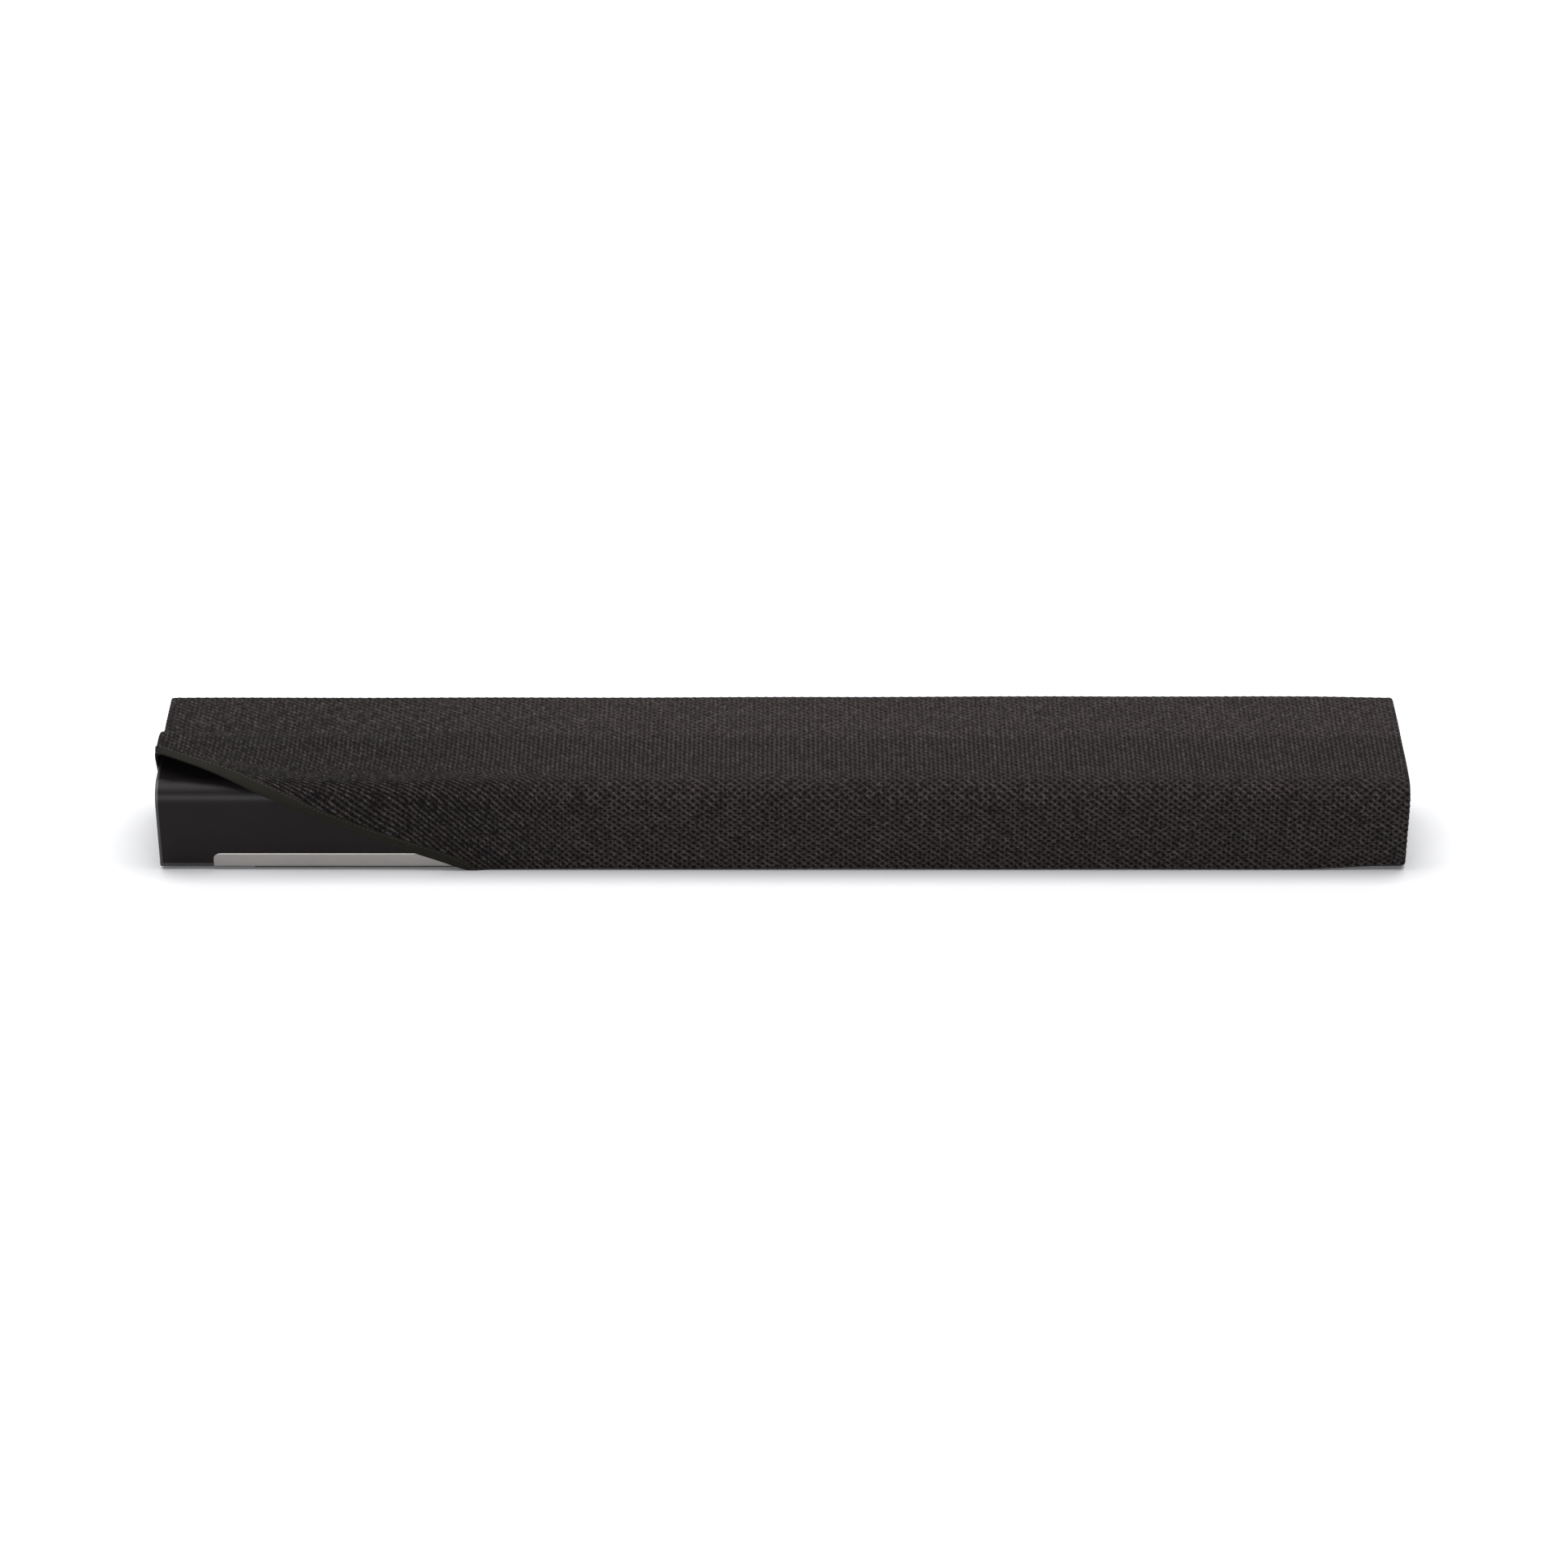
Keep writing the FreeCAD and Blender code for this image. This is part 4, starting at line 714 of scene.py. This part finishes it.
def make_end_knit(name, side, node, material):
    """A flat end panel between the bar's outline and its hem, with the same knit."""
    x = LEFT - END_OFF_LEFT if side < 0 else RIGHT + END_OFF_RIGHT
    edge_y, edge_z = end_outline(side * END_CUT)
    nose_low = NOSE_CORNER[1] - NOSE_RADIUS
    high_part = edge_z > nose_low
    order = np.argsort(edge_y[high_part])
    upper_y = edge_y[high_part][order]
    upper_z = edge_z[high_part][order]
    front = (edge_z <= nose_low) & (edge_y < 0)
    front_order = np.argsort(edge_y[front])
    lower_y = edge_y[front][front_order]
    lower_z = edge_z[front][front_order]
    column = WALE / 2
    row = COURSE / 2
    y = np.arange(int(edge_y.min() / column), int(edge_y.max() / column) + 1) * column
    z = HEM_LOW + np.arange(int(edge_z.max() / row) + 2) * row
    top = np.interp(y, upper_y, upper_z)
    if side < 0:
        bottom = end_hem(y)
    else:
        bottom = np.where(y < FRONT_FOOT, np.interp(y, lower_y, lower_z), right_hem(y))
    bottom = np.minimum(bottom, top)
    grid_z = np.clip(z[:, None], bottom[None, :], top[None, :])
    grid_y = np.broadcast_to(y[None, :], grid_z.shape)
    bulge = END_BULGE * np.sin(grid_y / 23.0) * np.sin(grid_z / 19.0)
    points = np.stack([x + side * bulge, grid_y, grid_z], axis=-1)
    normals = np.zeros_like(points)
    normals[..., 0] = side
    a, b = thread_phases(grid_y, grid_z)
    fade = 2.0
    inside = smoothstep(0.0, fade, top[None, :] - grid_z) * smoothstep(0.0, fade, grid_z - bottom[None, :])
    points = knit_relief(points, normals, a, b, HOLE_DEPTH * inside)
    open_rows = np.diff(grid_z, axis=0) > 1e-6
    keep = open_rows[:, :-1] | open_rows[:, 1:]
    faces = grid_faces(len(z), len(y), keep)
    if side < 0:
        faces = [face[::-1] for face in faces]
    uv = np.stack([a, b], axis=-1).reshape(-1, 2)
    points, faces, uv = without_spares(points.reshape(-1, 3), faces, uv)
    knit = piece(name, points, faces, material, "cover", uv)
    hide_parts(node)
    return knit


# ---------------------------------------------------------------- binding and stitches


def unit(vectors):
    return vectors / (np.linalg.norm(vectors, axis=-1, keepdims=True) + 1e-12)


class HemLoop:
    """The whole hem as one closed loop of rings, each with its own width of tape."""

    def __init__(self):
        step = 2.0
        end_inset = 2.0
        front_inset = 3.0
        self.x = np.arange(-HEM_END, HEM_END + step, step)
        self.s = hem_s(self.x)
        edge, _ = surface(self.x, self.s)
        left = LEFT - END_OFF_LEFT
        right = RIGHT + END_OFF_RIGHT
        y = np.arange(FRONT_FOOT + front_inset, BACK, step)
        x_back = np.arange(RIGHT - end_inset, LEFT + end_inset, -step)
        y_left = np.arange(BACK, edge[0, 1] + 1.0, -step)
        right_edge = np.stack([np.full_like(y, right), y, right_hem(y)], axis=-1)
        level = np.full_like(x_back, HEM_LOW)
        back_edge = np.stack([x_back, np.full_like(x_back, BACK + BACK_OFF), level], axis=-1)
        left_edge = np.stack([np.full_like(y_left, left), y_left, end_hem(y_left)], axis=-1)
        slope = np.gradient(left_edge[:, 2], left_edge[:, 1])
        up_left = unit(np.stack([np.zeros_like(slope), -slope, np.ones_like(slope)], axis=-1))
        self.front = edge
        self.rest = np.concatenate([right_edge, back_edge, left_edge])
        self.rest_normal = np.concatenate(
            [
                np.tile([1.0, 0.0, 0.0], (len(y), 1)),
                np.tile([0.0, 1.0, 0.0], (len(x_back), 1)),
                np.tile([-1.0, 0.0, 0.0], (len(y_left), 1)),
            ]
        )
        self.rest_into = np.concatenate([np.tile([0.0, 0.0, 1.0], (len(y) + len(x_back), 1)), up_left])
        turned = smoothstep(HEM_TURN_X + 6.0, HEM_UNDER_X, self.x)
        width = TAPE_WIDTH + (TAPE_UNDER - TAPE_WIDTH) * turned
        self.width = soften(np.concatenate([width, np.full(len(self.rest), TAPE_WIDTH)]))

    def ring(self, inwards):
        """Points and outward normals, one for each place, at a distance into the cloth from the edge."""
        inwards = np.broadcast_to(inwards, self.width.shape)
        ahead = inwards[: len(self.x)]
        point, normal = surface(self.x, self.s - np.maximum(ahead, 0.0))
        down = unit(self.front - surface(self.x, self.s - 1.0)[0])
        point = point + down * np.maximum(-ahead, 0.0)[:, None]
        rest = self.rest + self.rest_into * inwards[len(self.x) :, None]
        return (
            soften(np.concatenate([point, rest])),
            unit(soften(np.concatenate([normal, self.rest_normal]))),
        )


def soften(values, times=3):
    """Smooths values round a closed loop."""
    for _ in range(times):
        values = 0.25 * np.roll(values, 1, 0) + 0.5 * values + 0.25 * np.roll(values, -1, 0)
    return values


def off_floor(points):
    """Presses whatever would reach below the floor flat against it."""
    points[..., 2] = np.maximum(points[..., 2], FLOOR_GAP)
    return points


class FlatLoop:
    """A loop of tape lying in one plane, given its points, directions into the cloth and normals."""

    def __init__(self, points, into, normals, width):
        self.points = points
        self.into = into
        self.normals = normals
        self.width = np.full(len(points), width)

    def ring(self, inwards):
        """Points and outward normals at a distance into the cloth from the loop's points."""
        return self.points + self.into * np.broadcast_to(inwards, self.width.shape)[:, None], self.normals


def tape_thickness(size):
    """The share of its full thickness that the tape has at each width."""
    full_width = TAPE_UNDER + 2.5
    return TAPE_FLAT + (1 - TAPE_FLAT) * smoothstep(TAPE_UNDER, full_width, size)


def tape_section(size):
    """Corners of the folded tape's section as (into the cloth, outwards), for each width."""
    top = TAPE_OUT * tape_thickness(size)
    low = -TAPE_IN * tape_thickness(size)
    nothing = np.zeros_like(size)
    lip = 0.1
    bevel = 0.5
    fold = 0.8  # the folded edge reaches this far past the cloth's own edge
    fold_end = 0.2
    crown = 1.1  # the tape is this much thicker along its middle
    shoulder = 1.06
    return [
        (size, nothing + lip),
        (size - lip, top * 0.8),
        (size - bevel, top),
        (size * 0.75, top * shoulder),
        (size * 0.5, top * crown),
        (size * 0.25, top * shoulder),
        (nothing + fold_end, top),
        (nothing - bevel, top * 0.6),
        (nothing - fold, nothing + lip),
        (nothing - bevel, low * 0.7),
        (nothing + fold_end, low),
        (size * 0.5, low),
        (size - bevel, low),
        (size - lip, low * 0.7),
    ]


def swept_tape(name, loop, material):
    """A closed loop of tape."""
    section = tape_section(loop.width)
    rings = []
    for inwards, outwards in section:
        point, normal = loop.ring(inwards)
        rings.append(off_floor(point + normal * outwards[:, None]))
    count = len(loop.width)
    steps = np.linalg.norm(np.roll(rings[0], -1, 0) - rings[0], axis=1)
    run = np.concatenate([[0.0], np.cumsum(steps)[:-1]])
    uv = np.concatenate([np.stack([run, np.full(count, float(k))], axis=-1) for k in range(len(section))])
    faces = []
    for k in range(len(section)):
        following = (k + 1) % len(section)
        for i in range(count):
            j = (i + 1) % count
            faces.append((k * count + i, following * count + i, following * count + j, k * count + j))
    return piece(name, np.concatenate(rings), faces, material, "cover", uv)


def make_stitches(name, loop, material):
    """A row of stitches near the tape's inner edge, each a small bent capsule."""
    pitch = 3.2
    length = 2.2
    thick = 0.28
    flattened = 0.8
    proud = 0.16
    from_edge = 1.5
    narrowest = TAPE_UNDER + 2.0  # a narrower stretch of tape shows no stitches
    point, normal = loop.ring(loop.width - from_edge)
    outer, _ = loop.ring(loop.width - 2 * from_edge)
    point = point + normal * (TAPE_OUT * tape_thickness(loop.width))[:, None]
    across = unit(point - outer)
    steps = np.linalg.norm(np.roll(point, -1, 0) - point, axis=1)
    run = np.concatenate([[0.0], np.cumsum(steps)])

    def at(values, where):
        closed = np.concatenate([values, values[:1]])
        return np.stack([np.interp(where, run, closed[:, k]) for k in range(3)], axis=-1)

    centres = np.arange(pitch / 2, run[-1] - pitch / 2, pitch)
    width = np.interp(centres, run, np.concatenate([loop.width, loop.width[:1]]))
    centres = centres[width > narrowest]
    shares = np.linspace(-0.5, 0.5, 5)
    swell = np.sqrt(np.clip(1 - (2 * shares) ** 2, 0.08, 1.0))
    sides = 5
    points = []
    faces = []
    for centre in centres:
        base = len(points)
        where = centre + shares * length
        middle = at(point, where)
        into = unit(at(across, where))
        out = unit(at(normal, where))
        for k in range(len(shares)):
            core = middle[k] + out[k] * proud * swell[k]
            for q in range(sides):
                angle = 2 * math.pi * q / sides
                radius = thick * swell[k]
                beside = into[k] * math.cos(angle) * radius
                points.append(core + beside + out[k] * math.sin(angle) * radius * flattened)
        for k in range(len(shares) - 1):
            for q in range(sides):
                r = (q + 1) % sides
                first = base + k * sides
                faces.append((first + q, first + r, first + sides + r, first + sides + q))
        faces.append(tuple(base + q for q in range(sides))[::-1])
        faces.append(tuple(base + (len(shares) - 1) * sides + q for q in range(sides)))
    return piece(name, np.array(points), faces, material, "cover")


def window_loop():
    """The tape round the lead window in the cover's back, as a closed loop with rounded corners."""
    step = 2.0
    corners = [
        (WINDOW_HALF, WINDOW_LOW),
        (WINDOW_HALF, WINDOW_HIGH),
        (-WINDOW_HALF, WINDOW_HIGH),
        (-WINDOW_HALF, WINDOW_LOW),
    ]
    run = []
    for (x0, z0), (x1, z1) in zip(corners, corners[1:] + corners[:1]):
        length = math.dist((x0, z0), (x1, z1))
        along = ((x1 - x0) / length, (z1 - z0) / length)
        straight = length - 2 * WINDOW_RADIUS
        count = int(straight / step)
        for k in range(count + 1):
            reach = WINDOW_RADIUS + straight * k / count
            run.append((x0 + along[0] * reach, z0 + along[1] * reach))
    flat = soften(np.array(run), 2)
    places = np.stack([flat[:, 0], np.full(len(flat), BACK + BACK_OFF), flat[:, 1]], axis=-1)
    outwards = np.tile([0.0, 1.0, 0.0], (len(places), 1))
    along = unit(np.roll(places, -1, 0) - np.roll(places, 1, 0))
    away = np.cross(along, outwards)
    from_middle = places - places.mean(axis=0)
    away = np.where((from_middle * away).sum(-1, keepdims=True) < 0, -away, away)
    return FlatLoop(places, unit(away), outwards, WINDOW_TAPE_WIDTH)


def make_binding(material, thread):
    """The tape and its stitches, round the hem and round the window."""
    hem = HemLoop()
    window = window_loop()
    pieces = [
        swept_tape("hem_binding", hem, material),
        swept_tape("window_binding", window, material),
        make_stitches("hem_stitches", hem, thread),
        make_stitches("window_stitches", window, thread),
    ]
    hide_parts("cover_binding")
    return pieces


# ---------------------------------------------------------------- button marks


def bar_mark(name, body, y, z, width, height, face_x, material):
    """A low raised bar with chamfered edges on a button's face."""
    edge = 0.1
    sunk = 0.05
    shoulder = MARK_PROUD - 0.04
    points = []
    for x, grow in ((face_x - sunk, 0.0), (face_x + shoulder, 0.0), (face_x + MARK_PROUD, -edge)):
        for dy, dz in ((-1, -1), (1, -1), (1, 1), (-1, 1)):
            points.append((x, y + dy * (width / 2 + grow), z + dz * (height / 2 + grow)))
    faces = [(3, 2, 1, 0), (8, 9, 10, 11)]
    for ring in (0, 4):
        for k in range(4):
            j = (k + 1) % 4
            faces.append((ring + k, ring + j, ring + 4 + j, ring + 4 + k))
    mark = piece(name, points, faces, material, body, smooth=False)


def make_button_marks(material):
    """Two bars for mute, a plus for volume up and a minus for volume down."""
    mute_bar = (0.9, 3.2)
    mute_apart = 1.1
    upright = (MARK_THICK, 1.3)
    upright_off = 1.1
    for key in ("volume_up", "mute", "volume_down"):
        low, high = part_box(key + "_button")
        face_x = high[0] / MM
        y = (low[1] + high[1]) / 2 / MM
        z = (low[2] + high[2]) / 2 / MM
        body = key + "_key"
        if key == "mute":
            bar_mark("mute_mark_a", body, y - mute_apart, z, *mute_bar, face_x, material)
            bar_mark("mute_mark_b", body, y + mute_apart, z, *mute_bar, face_x, material)
            continue
        bar_mark(key + "_mark", body, y, z, MARK_LONG, MARK_THICK, face_x, material)
        if key == "volume_up":
            bar_mark("volume_up_mark_upright_a", body, y, z + upright_off, *upright, face_x, material)
            bar_mark("volume_up_mark_upright_b", body, y, z - upright_off, *upright, face_x, material)


# ---------------------------------------------------------------- the bar's own materials

# Each grained material's darker and lighter colour, roughness, fineness of grain and the grain's strength.
GRAINED = {
    "casing_plastic": ((0.008, 0.008, 0.0082), (0.012, 0.012, 0.0122), 0.5, 1800.0, 0.3),
    "inner_plastic": ((0.012, 0.012, 0.012), (0.02, 0.02, 0.02), 0.62, 900.0, 0.2),
    "button_plastic": ((0.016, 0.016, 0.0165), (0.022, 0.022, 0.0225), 0.38, 2400.0, 0.12),
    "connector_plastic": ((0.006, 0.006, 0.006), (0.01, 0.01, 0.01), 0.26, 2600.0, 0.08),
    "component_body": ((0.01, 0.01, 0.011), (0.025, 0.025, 0.026), 0.4, 1200.0, 0.15),
    "foot_rubber": ((0.010, 0.010, 0.0105), (0.02, 0.02, 0.021), 0.82, 1100.0, 0.4),
    "wire_sleeve": ((0.012, 0.012, 0.012), (0.02, 0.02, 0.02), 0.55, 1600.0, 0.2),
    "basket_paint": ((0.012, 0.012, 0.012), (0.02, 0.02, 0.021), 0.42, 1400.0, 0.15),
    "ferrite": ((0.05, 0.05, 0.052), (0.085, 0.085, 0.088), 0.6, 700.0, 0.4),
    "dome_silk": ((0.02, 0.02, 0.022), (0.035, 0.035, 0.038), 0.45, 3000.0, 0.5),
    "stitch_thread": ((0.012, 0.012, 0.011), (0.02, 0.02, 0.018), 0.7, 4000.0, 0.4),
}

LENGTHWISE = (30.0, 900.0, 900.0)
UPRIGHT = (900.0, 900.0, 40.0)
ALL_WAYS = (400.0, 400.0, 400.0)

# Each metal's darker and lighter colour, roughness and the direction of its lines.
BRUSHED = {
    "band_aluminium": ((0.31, 0.295, 0.285), (0.37, 0.355, 0.34), 0.42, LENGTHWISE),
    "sink_aluminium": ((0.42, 0.42, 0.43), (0.6, 0.6, 0.61), 0.35, LENGTHWISE),
    "insert_brass": ((0.55, 0.38, 0.14), (0.75, 0.56, 0.25), 0.3, UPRIGHT),
    "screw_steel": ((0.08, 0.08, 0.085), (0.16, 0.16, 0.165), 0.38, ALL_WAYS),
}


def paint_cad_nodes(made):
    """Gives each CAD node its material. The cover's nodes have none here, because the knit replaces them."""
    by_slot = {
        "acoustic_cloth": cloth_material(),
        "casing_black": made["casing_plastic"],
        "inner_black": made["inner_plastic"],
        "band_silver": made["band_aluminium"],
        "foot_rubber": made["foot_rubber"],
        "button_black": made["button_plastic"],
        "connector_black": made["connector_plastic"],
        "insert_brass": made["insert_brass"],
        "screw_steel": made["screw_steel"],
        "magnet_grey": made["ferrite"],
        "foam_grey": foam_material(),
        "circuit_green": board_material(),
        "component_black": made["component_body"],
        "heat_sink_metal": made["sink_aluminium"],
        "wire_black": made["wire_sleeve"],
        "light_pipe_clear": clear_material(),
        "basket_steel": made["basket_paint"],
        "cone_paper": paper_material(),
        "surround_rubber": made["foot_rubber"],
        "dome_silk": made["dome_silk"],
    }
    for part in frame["record"]["subparts"]:
        material = by_slot.get(part["material_slot"])
        if material is None:
            continue
        thing = frame["nodes"][part["node"]]
        for slot in thing.material_slots:
            slot.link = "OBJECT"
            slot.material = material


# ---------------------------------------------------------------- floor, light and camera


def make_stage():
    """A wide sheet of pale paper."""
    n = Nodes("floor_paper")
    n.bump(n.noise(n.coordinates(), 500.0, 2.0), 0.02, 0.0002)
    material = n.finish((0.52, 0.525, 0.54), 0.85, Specular_IOR_Level=0.1)
    reach = 30.0
    corners = [(-reach, -reach, 0.0), (reach, -reach, 0.0), (reach, reach, 0.0), (-reach, reach, 0.0)]
    mesh = bpy.data.meshes.new("floor")
    mesh.from_pydata(corners, [], [(0, 1, 2, 3)])
    mesh.materials.append(material)
    floor = bpy.data.objects.new("floor", mesh)
    bpy.context.scene.collection.objects.link(floor)


def make_area_light(name, place, aim, size, power, colour=(1.0, 1.0, 1.0)):
    data = bpy.data.lights.new(name, "AREA")
    data.shape = "RECTANGLE"
    data.size, data.size_y = size
    data.energy = power
    data.color = colour
    lamp = bpy.data.objects.new(name, data)
    lamp.location = place
    lamp.rotation_euler = (Vector(aim) - Vector(place)).to_track_quat("-Z", "Y").to_euler()
    bpy.context.scene.collection.objects.link(lamp)


def make_lights():
    """An even studio: a big soft box overhead, one for the paper behind and a low one for the front."""
    world = bpy.data.worlds.new("studio")
    world.use_nodes = True
    background = world.node_tree.nodes["Background"]
    background.inputs["Color"].default_value = (0.97, 0.98, 1.0, 1.0)
    background.inputs["Strength"].default_value = 0.48
    bpy.context.scene.world = world
    warm = (1.0, 0.985, 0.97)
    bar = (0, 0, 0)
    make_area_light("overhead_box", place=(0, -0.45, 2.5), aim=bar, size=(3.4, 2.0), power=125, colour=warm)
    make_area_light("background_box", place=(0, 1.8, 2.8), aim=(0, 4.4, 0), size=(4.5, 1.2), power=230)
    make_area_light("front_box", place=(-0.2, -3.0, 0.75), aim=(0, 0, 0.05), size=(3.0, 0.4), power=85)


def make_camera():
    """Level across, from the front and a little above."""
    data = bpy.data.cameras.new("view")
    data.sensor_width = 36.0
    data.lens = LENS
    camera = bpy.data.objects.new("view", data)
    sight = Vector((0.0, math.cos(SIGHT_TILT), -math.sin(SIGHT_TILT)))
    camera.location = Vector(SIGHT_AIM) - sight * SIGHT_DISTANCE
    camera.rotation_euler = sight.to_track_quat("-Z", "Y").to_euler()
    bpy.context.scene.collection.objects.link(camera)
    bpy.context.scene.camera = camera


# ---------------------------------------------------------------- the whole scene

make_camera()
make_stage()
make_lights()
bpy.context.scene.view_settings.view_transform = "Standard"

knit = knit_material()
made = {name: grained_material(name, *look) for name, look in GRAINED.items()}
made.update({name: brushed_material(name, *look) for name, look in BRUSHED.items()})

main_knit = make_main_knit(knit)
left_knit = make_end_knit("knit_left_end", -1, "cover_left_end", knit)
right_knit = make_end_knit("knit_right_end", 1, "cover_right_end", knit)
bindings = make_binding(tape_material(), made["stitch_thread"])
paint_cad_nodes(made)
make_button_marks(made["button_plastic"])
